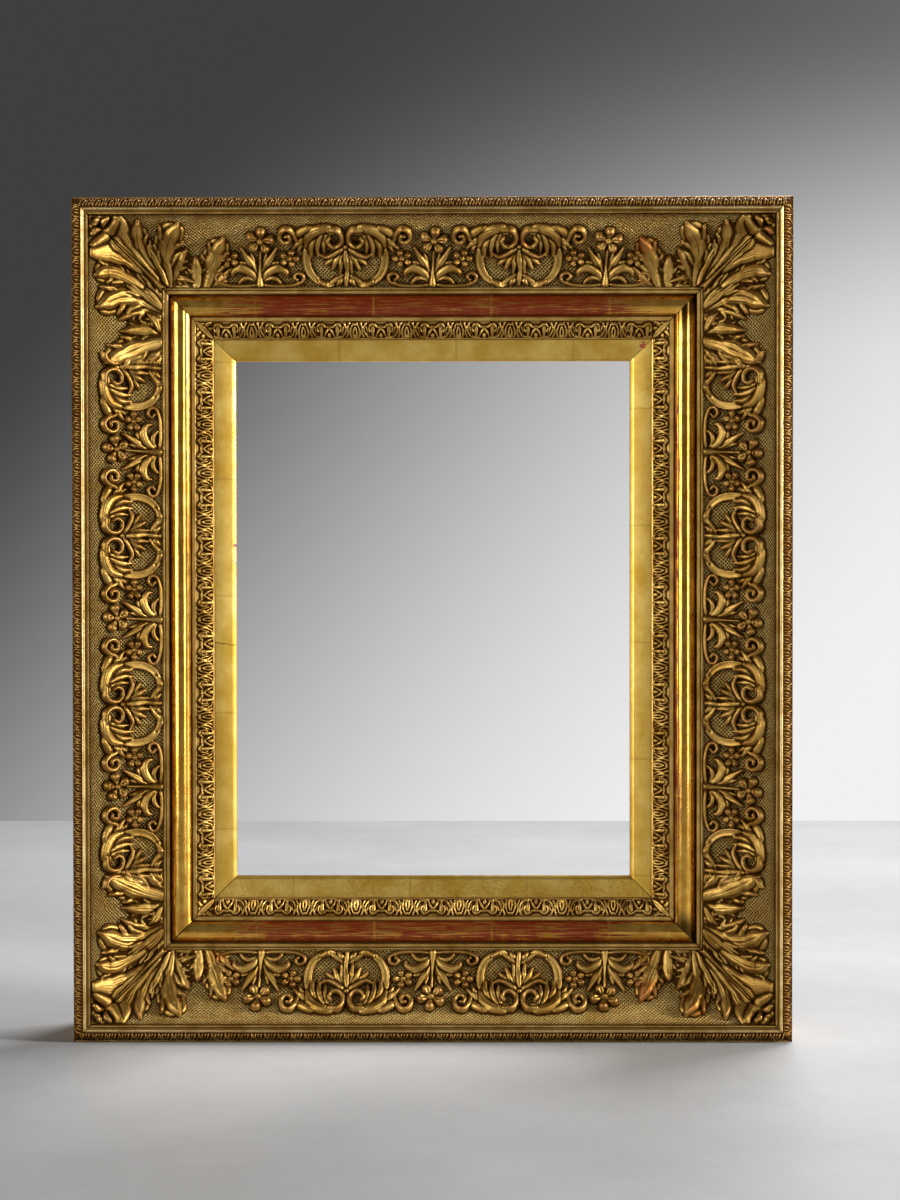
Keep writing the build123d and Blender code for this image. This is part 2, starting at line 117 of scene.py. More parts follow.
def across_cove(out):
    """Length of arc from the foot of the cove to a place seen at that outward distance from the front."""
    return cove_radius * (np.arcsin((np.asarray(out) - cove_centre_out) / cove_radius) - first_turn)


def cove_place(arc, height):
    """Outward distance and level of a place over the cove, at a height square to it."""
    turn = first_turn + arc / cove_radius
    reach = cove_radius - height
    return cove_centre_out + reach * np.sin(turn), cove_centre_level - reach * np.cos(turn)


print("cove radius", round(cove_radius, 2), "length of its arc", round(cove_length, 2))

# %% [markdown]
# ## Colours and nodes
# Colours are written as the sRGB hex values that a painter would pick from a photograph, and one function makes them
# linear. One small function adds a node with its settings and links. It takes Blender's own name for the kind of
# node, of which the shader nodes' leading "ShaderNode" is left out, and gives the socket of the node's result, so
# that nodes can be written inside each other like sums.

# %% Colour and node helpers
smooth = {"interpolation_type": "SMOOTHSTEP"}
multiply, multiply_add = {"operation": "MULTIPLY"}, {"operation": "MULTIPLY_ADD"}


def linear(hex_colour):
    """An sRGB hex colour as linear red, green, blue and alpha."""
    parts = [int(hex_colour[place:place + 2], 16) / 255 for place in (1, 3, 5)]
    return [part / 12.92 if part <= 0.04045 else ((part + 0.055) / 1.055) ** 2.4 for part in parts] + [1.0]


def feed(node, inputs):
    """Links or sets the inputs of a node: a list in order, or a dictionary by name or number."""
    for name, value in inputs.items() if isinstance(inputs, dict) else enumerate(inputs):
        if isinstance(value, bpy.types.NodeSocket):
            node.id_data.links.new(value, node.inputs[name])
        else:
            node.inputs[name].default_value = value


def add(tree, kind, inputs=(), output=0, **settings):
    """Adds a node with its settings and links, and gives the socket of its result."""
    made = tree.nodes.new(kind if "Node" in kind else f"ShaderNode{kind}")
    for name, value in settings.items():
        setattr(made, name, value)
    feed(made, inputs)
    return made.outputs[output] if len(made.outputs) else None


def start_material(name):
    """A new material, with its tree and its shader."""
    material = bpy.data.materials.new(name)
    material.use_nodes = True
    tree = material.node_tree
    tree.nodes.clear()
    surface = add(tree, "BsdfPrincipled")
    add(tree, "OutputMaterial", {"Surface": surface})
    return material, tree, surface.node


def layered(tree, colour, *layers):
    """A colour under layers, each a hex colour, its amount, and limits that turn two values into two amounts."""
    for layer, amount, *limits in layers:
        if limits:
            amount = add(tree, "MapRange", [amount, *limits], **smooth)
        colour = add(tree, "Mix", {0: amount, 6: colour, 7: linear(layer)}, 2, data_type="RGBA")
    return colour


def near_spots(tree, place, ragged, spots, *limits):
    """Smooth patches round spots, which are (x, z, radius) in millimetres, with an outline that noise makes ragged."""
    flat = add(tree, "VectorMath", [place, (1.0, 0.0, 1.0)], operation="MULTIPLY")
    nearest = None
    for x, z, radius in spots:
        far = add(tree, "VectorMath", [flat, (x * MM, 0.0, z * MM)], "Value", operation="DISTANCE")
        far = add(tree, "Math", [far, radius * MM], operation="DIVIDE")
        nearest = far if nearest is None else add(tree, "Math", [nearest, far], operation="MINIMUM")
    return add(tree, "MapRange", [add(tree, "Math", [nearest, ragged]), *limits], **smooth)


# %% [markdown]
# ## Gilding
# Water gilding is gold leaf of 80 mm laid over red clay, the bole, on white gesso. Burnished, it is a mirror; left
# alone, it is satin. Rubbing wears it to the clay on edges and high places. The hollows are darkened with painted
# shade, together with dust and toning. All the gilded finishes share that build-up, so one function makes them, with
# the amounts as its arguments: clouds of 14 mm tint the gold, specks of 1.1 mm break up the painted shade and the
# toning, and a grain of 0.35 mm takes the shine off. Gold is a metal, so it keeps the default IOR, and only where the
# clay shows is it less than fully metallic.

# %% Gilded finishes
leaf_size = 77 * MM
bole_hex, shade_and_grime_hex = "#7A2A12", "#3A1D02"


def gilding(name, gold, shade, roughness, shade_and_grime, rub_to_bole, mottle):
    """Gold leaf with painted shade, dust and toning in its hollows, worn to red bole on the high places."""
    material, tree, shader = start_material(name)
    place = add(tree, "TexCoord", output="Object")
    relief = add(tree, "Attribute", output="Fac", attribute_name="relief")
    cloud = add(tree, "TexNoise", {"Vector": place, "Scale": 1 / (14 * MM), "Detail": 5, "Roughness": 0.6})
    speck = add(tree, "TexNoise", {"Vector": place, "Scale": 1 / (1.1 * MM), "Detail": 3, "Roughness": 0.7})
    grain = add(tree, "TexNoise", {"Vector": place, "Scale": 1 / (0.35 * MM), "Detail": 2})
    # Hollows: relief below zero is darkened with painted shade, together with toning and dust
    depth = add(tree, "Math", [relief, add(tree, "Math", [speck, 0.9, -0.45], **multiply_add)])
    hollow_shade_and_dirt = add(tree, "MapRange", [depth, 0.35, -0.55, 0.0, shade_and_grime], **smooth)
    # High places: relief above zero is rubbed down to the clay where the clouds let it
    worn_place = add(tree, "Math", [depth, add(tree, "MapRange", [cloud, 0.3, 0.75, -0.6, 0.5], **smooth)])
    worn = add(tree, "MapRange", [worn_place, 0.95, 1.35, 0.0, rub_to_bole], **smooth)
    sheen = add(tree, "MapRange", [speck, 0.3, 0.7, roughness - 0.05, roughness + 0.1], **smooth)
    feed(shader, {
        "Base Color": layered(tree, linear(shade), (gold, cloud, 0.5 - mottle / 2, 0.5 + mottle / 2),
                              (shade_and_grime_hex, hollow_shade_and_dirt), (bole_hex, worn)),
        "Metallic": add(tree, "Math", [worn, -0.6, 1.0], **multiply_add),
        "Roughness": add(tree, "Math", [hollow_shade_and_dirt, 0.35, sheen], **multiply_add),
        "Normal": add(tree, "Bump", {"Strength": 0.6, "Distance": 0.15 * MM, "Height": grain}),
    })
    return material, tree, shader


composition_gilt, tree, shader = gilding(
    "oil_gilt_composition", "#C19C54", "#846024", roughness=0.37, shade_and_grime=0.93, rub_to_bole=0.3, mottle=0.5)
fillet_gilt = gilding(
    "toned_fillet_gilt", "#CBA660", "#8C6828", roughness=0.36, shade_and_grime=0.75, rub_to_bole=0.3, mottle=0.6)[0]
rim_gilt = gilding(
    "rubbed_rim_gilt", "#E6C88C", "#B08A48", roughness=0.27, shade_and_grime=0.6, rub_to_bole=0.2, mottle=0.6)[0]
strip_gilt = gilding(
    "rubbed_strip_gilt", "#B68E4E", "#7C5320", roughness=0.4, shade_and_grime=0.95, rub_to_bole=0.45, mottle=0.5)[0]
inner_strip_gilt = gilding(
    "leaf_strip_gilt", "#D3AD60", "#8F6826", roughness=0.32, shade_and_grime=0.98, rub_to_bole=0.2, mottle=0.5)[0]

# Seven tips of the ornament are rubbed to the bare clay
place = add(tree, "TexCoord", output="Object")
relief = add(tree, "Attribute", output="Fac", attribute_name="relief")
cloud = add(tree, "TexNoise", {"Vector": place, "Scale": 1 / (3 * MM), "Detail": 3})
rubbed = near_spots(tree, place, cloud, [
    (138.0, 517.0, 11.0), (139.0, 31.0, 9.0), (171.0, 20.0, 7.0), (216.0, 521.0, 5.0), (165.0, 410.0, 5.0),
    (-140.0, 52.0, 5.0), (60.0, 516.0, 4.0),
], 1.6, 0.9)
high = add(tree, "MapRange", [relief, -0.2, 0.3, 0.0, 0.7], **smooth)
gold = shader.inputs["Base Color"].links[0].from_socket
feed(shader, {"Base Color": layered(tree, gold, ("#9C5A28", add(tree, "Math", [rubbed, high], **multiply)))})
print("nodes in the gilding of the ornament", len(tree.nodes))

# %% [markdown]
# The ground of the cove is pressed with the mesh of a net. Its threads stand about 1.2 mm apart, which is too fine
# to show in the picture, so they are drawn 1.75 mm apart. Two families of slanted waves, of which the higher wins,
# make the knots and the pits, and the pits are darkened with painted shade together with toning.

# %% The net of the ground
net_pitch, net_depth, net_wander = 1.75 * MM, 0.75 * MM, 1.6 * MM
ground_gilt, tree, shader = gilding(
    "netted_ground_gilt", "#F6DA8C", "#C89C48", roughness=0.36, shade_and_grime=0.97, rub_to_bole=0.0, mottle=0.75)
uv = add(tree, "UVMap", uv_map="rail")
wander = add(tree, "TexNoise", {"Vector": uv, "Scale": 1 / (6 * MM), "Detail": 2})
run, arc, _ = add(tree, "SeparateXYZ", [uv]).node.outputs
threads = []
for sign in (1.0, -1.0):
    slant = add(tree, "Math", [arc, sign, run], **multiply_add)
    slant = add(tree, "Math", [wander, sign * net_wander, slant], **multiply_add)
    turns = add(tree, "Math", [slant, 2 * pi / net_pitch / 1.414], **multiply)
    threads.append(add(tree, "Math", [turns], operation="SINE"))
net = add(tree, "Math", threads, operation="MAXIMUM")
gold, grained = (shader.inputs[name].links[0].from_socket for name in ("Base Color", "Normal"))
feed(shader, {
    # The pits of the net are darkened with painted shade together with toning
    "Base Color": layered(tree, gold, (shade_and_grime_hex, net, 0.9, -0.2, 0.0, 0.82)),
    "Normal": add(tree, "Bump", {"Strength": 1.0, "Distance": net_depth, "Height": net, "Normal": grained}),
})
print("threads of the net", round(net_pitch / MM, 2), "mm apart")

# %% [markdown]
# The band is burnished with an agate stone, so it mirrors the room. Its leaves overlap every 77 mm, and along both
# edges of the band the gold is rubbed through to the red clay. The stone leaves streaks 0.8 mm wide along the rail.

# %% Burnished gold


def leaf_laps(tree, uv, offset=0.0):
    """The run along the rail as leaves of gold: a tone for each leaf, and a thin line where two overlap."""
    leaves = add(tree, "Math", [add(tree, "SeparateXYZ", [uv]), leaf_size], operation="DIVIDE")
    leaves = add(tree, "Math", [leaves, 20.5 + offset])
    number = add(tree, "Math", [leaves], operation="FLOOR")
    tone = add(tree, "TexWhiteNoise", {"W": number}, noise_dimensions="1D")
    part = add(tree, "Math", [add(tree, "Math", [leaves], operation="FRACT"), 0.5], operation="SUBTRACT")
    from_middle = add(tree, "Math", [part], operation="ABSOLUTE")
    return tone, add(tree, "MapRange", [from_middle, 0.487, 0.497], **smooth)


burnished_gold, tree, shader = start_material("burnished_water_gilding")
uv = add(tree, "UVMap", uv_map="rail")
place = add(tree, "TexCoord", output="Object")
edge = add(tree, "Attribute", output="Fac", attribute_name="relief")
tone, lap = leaf_laps(tree, uv)
cloud = add(tree, "TexNoise", {"Vector": place, "Scale": 1 / (9 * MM), "Detail": 6, "Roughness": 0.65})
drawn_out = add(tree, "Mapping", {"Vector": uv, "Scale": (1 / (22 * MM), 1 / (0.8 * MM), 1.0)})
streak = add(tree, "TexNoise", {"Vector": drawn_out, "Scale": 1, "Detail": 4})
wear = edge
for noise, most in ((streak, 0.22), (cloud, 0.12)):
    wear = add(tree, "Math", [wear, add(tree, "MapRange", [noise, 0.3, 0.7, -most, most], **smooth)])
wear = add(tree, "MapRange", [wear, 0.45, 0.85, 0.0, 0.96], **smooth)
# The gold is double where two leaves overlap, so it wears less there
wear = add(tree, "Math", [lap, -0.3, wear], **multiply_add)
wear = add(tree, "Math", [wear, 0.0], operation="MAXIMUM")
feed(shader, {
    "Base Color": layered(
        tree, linear("#C98F35"), ("#F0C05A", cloud, 0.3, 0.7), ("#C8862E", add(tree, "Math", [tone, 0.35], **multiply)),
        # Near black where the relief is lowest: dust in the opened mitres, and the painted dark reflection beside them
        ("#701603", wear), ("#1A0A04", edge, -0.6, -1.4, 0.0, 0.9)),
    "Metallic": add(tree, "MapRange", [wear, 0.0, 1.0, 1.0, 0.5], **smooth),
    "Roughness": add(tree, "MapRange", [streak, 0.3, 0.8, 0.13, 0.26], **smooth),
    "Normal": add(tree, "Bump", {"Strength": 0.35, "Distance": 0.12 * MM, "Height": cloud}),
})
longest = sight_height + 2 * torus_end
print("leaves of gold along an upright torus", round(longest * MM / leaf_size, 1))

# %% [markdown]
# The slip is gilded in the same way but left satin, so it shines softly and evenly. One hairline crack runs across it
# on the left, and in a few places the gold is chipped to the clay or to the gesso.

# %% Satin gold
crack_height, crack_wander = 255.8, 8
slip_gold, tree, shader = start_material("satin_water_gilding")
place = add(tree, "TexCoord", output="Object")
mitre = add(tree, "Attribute", output="Fac", attribute_name="relief")
tone, lap = leaf_laps(tree, add(tree, "UVMap", uv_map="rail"), 0.3)
cloud = add(tree, "TexNoise", {"Vector": place, "Scale": 1 / (20 * MM), "Detail": 6, "Roughness": 0.6})
fine = add(tree, "TexNoise", {"Vector": place, "Scale": 1 / (0.9 * MM), "Detail": 3})
colour = layered(
    tree, linear("#CDA03C"), ("#E8C468", cloud, 0.3, 0.7), ("#C89A45", add(tree, "Math", [tone, 0.2], **multiply)),
    ("#9C6A28", add(tree, "Math", [lap, 0.3], **multiply)), (shade_and_grime_hex, mitre, -0.5, -1.3, 0.0, 0.85))
x, _, z = add(tree, "SeparateXYZ", [place]).node.outputs
crack = add(tree, "Math", [cloud, crack_wander * MM, (crack_height - crack_wander / 2) * MM], **multiply_add)
crack = add(tree, "Math", [add(tree, "Math", [z, crack], operation="SUBTRACT")], operation="ABSOLUTE")
crack = add(tree, "MapRange", [crack, 0.15 * MM, 0.4 * MM, 0.75, 0.0], **smooth)
on_left = add(tree, "Math", [x, -sight_width / 2 * MM], operation="LESS_THAN")
crack = add(tree, "Math", [crack, on_left], **multiply)
ragged = add(tree, "MapRange", [fine, 0.3, 0.7, -0.6, 0.6], **smooth)
to_clay = near_spots(tree, place, ragged, [(137.9, 451.0, 2.2), (-131.0, 320.0, 1.6)], 1.1, 0.75)
to_gesso = near_spots(tree, place, ragged, [(-130.6, 309.0, 1.2), (-130.6, 293.0, 0.9)], 1.1, 0.75)
gone = add(tree, "Math", [to_clay, to_gesso], operation="MAXIMUM")
feed(shader, {
    "Base Color": layered(tree, colour, (shade_and_grime_hex, crack), ("#8E2D16", to_clay), ("#A89A78", to_gesso)),
    "Metallic": add(tree, "Math", [1.0, gone], operation="SUBTRACT"),
    "Roughness": add(tree, "MapRange", [fine, 0.3, 0.7, 0.3, 0.42], **smooth),
    "Normal": add(tree, "Bump", {"Strength": 0.4, "Distance": 0.08 * MM, "Height": fine}),
})
print("nodes in the gilding of the slips", len(tree.nodes))

# %% [markdown]
# The side that faces the wall of the room isn't gilded but painted with thin yellow ochre in glue size, a distemper,
# which dries chalky and shows every cloud and speck of dirt. The back is raw pine, browned by age, with a grain that
# runs along each rail. The ring, its strap and the turn-buttons are rolled brass, dulled in clouds, and the screws are
# iron with fine scratches.

# %% Ochre paint
ochre_paint, tree, shader = start_material("ochre_distemper")
place = add(tree, "TexCoord", output="Object")
cloud = add(tree, "TexNoise", {"Vector": place, "Scale": 1 / (18 * MM), "Detail": 6, "Roughness": 0.65})
fine = add(tree, "TexNoise", {"Vector": place, "Scale": 1 / (0.8 * MM), "Detail": 3})
feed(shader, {
    "Base Color": layered(tree, linear("#86622F"), ("#A07C48", cloud, 0.3, 0.7),
                          ("#5E3C18", fine, 0.6, 0.75, 0.0, 0.5)),
    "Roughness": 0.75,
    "Normal": add(tree, "Bump", {"Strength": 0.5, "Distance": 0.1 * MM, "Height": fine}),
})

# %% Pine
frame_middle = outer_height / 2


def pine(name, stretch, diagonal=False):
    """Old pine whose grain runs along the axis with the small stretch, or along the keys across the mitres."""
    material, tree, shader = start_material(name)
    place = add(tree, "TexCoord", output="Object")
    if diagonal:
        x, y, z = add(tree, "SeparateXYZ", [place]).node.outputs
        out = add(tree, "Math", [x], operation="ABSOLUTE")
        up = add(tree, "Math", [z, frame_middle * MM], operation="SUBTRACT")
        up = add(tree, "Math", [up], operation="ABSOLUTE")
        place = add(tree, "CombineXYZ", [add(tree, "Math", [out, up], operation="SUBTRACT"), y,
                                         add(tree, "Math", [out, up])])
    squeezed = add(tree, "Mapping", {"Vector": place, "Scale": stretch})
    # Yearly rings stand 2.4 mm apart, and fibres of 0.5 mm make the faint lines between them
    wander = add(tree, "TexNoise", {"Vector": squeezed, "Scale": 1 / (30 * MM), "Detail": 3})
    rings = add(tree, "TexNoise", {"Vector": squeezed, "Scale": 1 / (2.4 * MM), "Detail": 3, "Roughness": 0.55})
    fibre = add(tree, "TexNoise", {"Vector": squeezed, "Scale": 1 / (0.5 * MM), "Detail": 3})
    feed(shader, {
        "Base Color": layered(tree, linear("#94704A"), ("#AE8A60", rings, 0.36, 0.66),
                              ("#7C5A38", fibre, 0.45, 0.75, 0.0, 0.4), ("#7E6040", wander, 0.4, 0.65, 0.0, 0.4)),
        "Roughness": 0.72,
        "Normal": add(tree, "Bump", {"Strength": 0.4, "Distance": 0.08 * MM, "Height": fibre}),
    })
    return material


level_pine = pine("pine_level_grain", (0.02, 1.0, 1.0))
upright_pine = pine("pine_upright_grain", (1.0, 1.0, 0.02))
key_pine = pine("pine_key_grain", (0.02, 1.0, 0.7), True)

# %% Brass and iron


def dull_metal(name, bright, dark, roughness):
    """A metal that age has dulled in clouds, with fine scratches."""
    material, tree, shader = start_material(name)
    place = add(tree, "TexCoord", output="Object")
    cloud = add(tree, "TexNoise", {"Vector": place, "Scale": 1 / (5 * MM), "Detail": 3})
    fine = add(tree, "TexNoise", {"Vector": place, "Scale": 1 / (0.4 * MM), "Detail": 2})
    feed(shader, {
        "Base Color": layered(tree, linear(dark), (bright, cloud, 0.25, 0.75)), "Metallic": 1.0,
        "Roughness": add(tree, "MapRange", [cloud, 0.3, 0.7, roughness + 0.12, roughness], **smooth),
        "Normal": add(tree, "Bump", {"Strength": 0.3, "Distance": 0.05 * MM, "Height": fine}),
    })
    return material


old_brass = dull_metal("aged_brass", "#BFA062", "#94763C", 0.34)
iron = dull_metal("dull_iron", "#8A857C", "#4C463E", 0.4)
print("materials", sorted(material.name for material in bpy.data.materials))

# %% [markdown]
# ## From numbers to mesh
# Mouldings and relief are both grids of points, so one function turns a grid into a closed mesh: its front, its back
# turned the other way, and a wall wherever the kept cells end. Another stores the run and the arc as the map "rail"
# for the patterns, and the height of the relief for the wear and the painted shade.

# %% Objects and closed meshes


def into_scene(name, data):
    """A new object of the scene, which stands at the origin."""
    made = bpy.data.objects.new(name, data)
    bpy.context.scene.collection.objects.link(made)
    return made


def as_mesh(carrier, name):
    """What the modifiers or the curve of an object make, as a plain mesh."""
    bpy.context.view_layer.update()
    made = bpy.data.meshes.new_from_object(carrier.evaluated_get(bpy.context.evaluated_depsgraph_get()))
    made.name = name
    return made


def finish_mesh(name, corners, faces, uv, relief, materials, face_materials=None, sharp=None):
    """A Blender object from arrays, with the map "rail" and the attribute "relief"."""
    mesh = bpy.data.meshes.new(name)
    mesh.vertices.add(len(corners))
    mesh.vertices.foreach_set("co", np.ascontiguousarray(corners, np.float32).ravel())
    mesh.loops.add(faces.size)
    mesh.loops.foreach_set("vertex_index", np.ascontiguousarray(faces, np.int32).ravel())
    mesh.polygons.add(len(faces))
    mesh.polygons.foreach_set("loop_start", np.arange(len(faces), dtype=np.int32) * faces.shape[1])
    for material in materials:
        mesh.materials.append(material)
    if face_materials is not None:
        mesh.polygons.foreach_set("material_index", np.ascontiguousarray(face_materials, np.int32))
    mesh.update(calc_edges=True)
    mesh.uv_layers.new(name="rail")
    mesh.uv_layers["rail"].data.foreach_set("uv", np.ascontiguousarray(uv[faces.ravel()], np.float32).ravel())
    mesh.attributes.new("relief", "FLOAT", "POINT")
    mesh.attributes["relief"].data.foreach_set("value", np.ascontiguousarray(relief, np.float32))
    mesh.shade_smooth()
    if sharp is not None:
        mesh.set_sharp_from_angle(angle=sharp)
    return into_scene(name, mesh)


def closed_grid(front, back, uv, relief, keep):
    """Corners, faces, map and relief of a closed shell over the kept cells of a grid."""
    rows, columns = keep.shape
    used = np.zeros((rows + 1, columns + 1), bool)
    for down in (0, 1):
        for right in (0, 1):
            used[down:down + rows, right:right + columns] |= keep
    number = np.cumsum(used.ravel()).reshape(used.shape) - 1
    total = int(used.sum())
    first, second = np.nonzero(keep)
    quad = [number[first + down, second + right] for down, right in ((0, 0), (1, 0), (1, 1), (0, 1))]
    front_faces = np.stack(quad, 1)
    back_faces = front_faces[:, ::-1] + total
    wide = np.zeros((rows + 2, columns + 2), bool)
    wide[1:-1, 1:-1] = keep
    walls = []
    for (down, right), (start, end) in (((0, -1), (0, 1)), ((1, 0), (1, 2)), ((0, 1), (2, 3)), ((-1, 0), (3, 0))):
        open_side = keep & ~wide[1 + down:rows + 1 + down, 1 + right:columns + 1 + right]
        chosen = open_side[first, second]
        here, there = quad[start][chosen], quad[end][chosen]
        walls.append(np.stack([here + total, there + total, there, here], 1))
    faces = np.concatenate([front_faces, back_faces, *walls])
    corners = np.concatenate([front[used], back[used]])
    return corners, faces, np.concatenate([uv[used], uv[used]]), np.concatenate([relief[used], relief[used]])


def blurred(field, cells):
    """A field averaged twice over a square of that many cells each way."""
    for _ in range(2):
        for axis in (0, 1):
            first, last = (np.repeat(field.take([end], axis), cells, axis) for end in (0, -1))
            padded = np.concatenate([first, field, last], axis)
            total = np.cumsum(padded, axis)
            total = np.concatenate([np.zeros_like(total.take([0], axis)), total], axis)
            width = 2 * cells + 1
            size = field.shape[axis]
            field = (total.take(range(width, width + size), axis) - total.take(range(size), axis)) / width
    return field


def cells_with(kept):
    """The cells of a grid that have a kept corner."""
    return kept[:-1, :-1] | kept[1:, :-1] | kept[:-1, 1:] | kept[1:, 1:]


# %% [markdown]
# ## The language of the relief
# A carver of moulds works in strokes: a gouge cut that swells and tapers along a curve. Here a stroke is a smooth
# curve with a half width and a height that change along it, and a section: round, a leaf with veins, or a flat band
# with raised rims. Strokes are laid over each other, and the highest wins, as in real relief.

# %% Strokes and flowers
# Relief is drawn on a grid of 0.5 mm, and where nothing is drawn it dips 0.8 mm below the surface
sink, grid_step = 0.8, 0.5
# A stroke is followed in steps of 0.7 mm and falls away within 1.5 mm of its outline, at a slope of 3 to 1. What lies
# below another stroke is cut back by 1 mm along the other's outline, but not below 0.5 mm
stroke_step, stroke_margin, stroke_slope = 0.7, 1.5, 3.0
undercut, least_height = 1.0, 0.5


class Relief:
    """A field of heights over an unrolled band, at given runs and arcs in millimetres."""

    def __init__(self, run, arc, ruler=across_cove):
        self.run, self.arc, self.ruler = run, arc, ruler
        self.height = np.full(run.shape, -sink)

    def stroke(self, points, widths, heights, section="round", veins=0, edge=0.9, hollow=0.0, lobes=0):
        """Lays a swelling stroke through points given as run and outward distance."""
        points = np.array([(run, float(self.ruler(out))) for run, out in points])
        knots = np.concatenate([[2 * points[0] - points[1]], points, [2 * points[-1] - points[-2]]])
        spans = len(points) - 1
        reach = np.hypot(*(points[1:] - points[:-1]).T).sum()
        count = max(6, int(reach / stroke_step))
        place = np.linspace(0, spans, count)
        span = np.minimum(place.astype(int), spans - 1)
        part = (place - span)[:, None]
        # A smooth curve that goes through all the points
        a, b, c, d = (knots[span + shift] for shift in range(4))
        bend, twist = 2 * a - 5 * b + 4 * c - d, 3 * b - a - 3 * c + d
        line = 0.5 * (2 * b + (c - a) * part + bend * part**2 + twist * part**3)
        share = place / spans
        half = np.interp(share, np.linspace(0, 1, len(widths)), widths)
        # Lobes are swellings of a fifth of the width along the outline
        half = half * (1 + 0.2 * (np.abs(np.sin(pi * lobes * share)) - 0.6)) if lobes else half
        top = np.interp(share, np.linspace(0, 1, len(heights)), heights)
        low, high = line.min(0) - half.max() - stroke_margin, line.max(0) + half.max() + stroke_margin
        near = (self.run > low[0]) & (self.run < high[0]) & (self.arc > low[1]) & (self.arc < high[1])
        if not near.any():
            return
        # Each place belongs to the point of the line in whose circle it lies deepest
        run, arc = self.run[near], self.arc[near]
        away = np.stack([run[:, None] - line[:, 0], arc[:, None] - line[:, 1]], -1)
        gap = np.hypot(away[..., 0], away[..., 1])
        best = np.argmin(gap - half, 1)
        row = np.arange(len(run))
        lead = np.gradient(line, axis=0)
        turn = lead[best, 0] * away[row, best, 1] - lead[best, 1] * away[row, best, 0]
        inside = half[best] - gap[row, best]
        ratio = np.clip(gap[row, best] / half[best], 0, 1)
        side = ratio * np.sign(turn)
        crest = top[best]
        # The section across the line: a half round, a flatter leaf with veins, or a band with raised rims
        shape = np.sqrt(1 - ratio**2)
        if section == "leaf":
            shape = (1 - ratio**2.6) ** 0.5
            if veins:
                fade = (1 - share[best] ** 3) * (1 - ratio**6)
                shape = shape - 0.2 * fade * (0.5 + 0.5 * np.cos(2 * pi * veins * side))
                shape = shape - hollow * np.exp(-(side / 0.14) ** 2) * (1 - ratio**2)
        elif section == "band":
            shape = 0.74 + 0.26 * np.clip((ratio - 0.45) / 0.2, 0, 1) * np.clip((1.02 - ratio) / 0.12, 0, 1)
        rise = np.minimum(edge, crest)
        height = np.where(inside > 0, rise + (crest - rise) * shape, rise + stroke_slope * inside)
        self.height[near] = np.maximum(self.height[near], height)

    def over(self, lay, *given):
        """Lays strokes over the relief and undercuts what lies below along their outline, as a carver does."""
        below = self.height
        self.height = np.full_like(below, -sink)
        lay(*given)
        near = np.clip(blurred((self.height > 0.3) * 1.0, 1) * 1.8, 0, 1)
        cut_back = np.where(below > least_height, np.maximum(below - undercut * near, least_height), below)
        self.height = np.maximum(self.height, cut_back)

    def leaf(self, line, widths, heights, flutes):
        """A leaf in three layers: a fluted sheet, small lobes that part from its edges, and the long middle lobe."""
        line, widths, heights = (np.array(part, float) for part in (line, widths, heights))

        def at(share):
            """The place on the line at a share of its length."""
            return np.array([np.interp(share, np.linspace(0, 1, len(line)), line[:, axis]) for axis in (0, 1)])

        def lobes():
            """Two pairs of small lobes."""
            for tip in (0.52, 0.76):
                lead = at(tip + 0.1) - at(tip - 0.1)
                square = np.array((-lead[1], lead[0])) / np.hypot(*lead)
                half, top = (np.interp(tip, np.linspace(0, 1, len(part)), part) for part in (widths, heights))
                for aside in (square * half, -square * half):
                    self.stroke([at(tip - 0.36), at(tip - 0.12) + aside * 0.85, at(tip) + aside * 1.5],
                                [half * 0.3, half * 0.5, half * 0.16], [top * 0.6, top * 0.86, top * 0.68], "leaf", 1)

        self.over(self.stroke, line[:-1], widths[:-1] * 1.5, heights[:-1] * 0.62, "leaf", flutes + 3)
        self.over(lobes)
        self.over(self.stroke, line, widths * 0.92, heights, "leaf", flutes, 1.2, 0.12, 3)

    def bead(self, run, out, radius, height):
        """A round bead."""
        self.stroke([(run, out), (run + 0.05, out)], [radius, radius], [height, height])

    def flower(self, run, out, radius, height, petals=5, turn=0.0):
        """A flower of round petals about a bead."""
        for petal in range(petals):
            angle = turn + 2 * pi * petal / petals
            line = [(run + far * radius * sin(angle), out + 0.8 * (far * radius) * cos(angle))
                    for far in (0.42, 0.72)]
            self.stroke(line, [0.26 * radius, 0.37 * radius], [height * 0.68, height], "leaf", 1, 0.8, 0.2)
        self.bead(run, out, 0.26 * radius, height * 1.05)

    def mirrored(self, strokes):
        """Draws the same strokes on both sides of the middle."""
        plain = self.run
        for way in (1, -1):
            self.run = plain * way
            strokes(self)
        self.run = plain


# %% [markdown]
# ## The cartouche
# Two C-shaped bands open upward, each caught at its foot by a clasp. From their tops two plumes of acanthus roll
# inward into volutes with a dark eye, and outward to a curled rosette. Between them hangs a palmette.

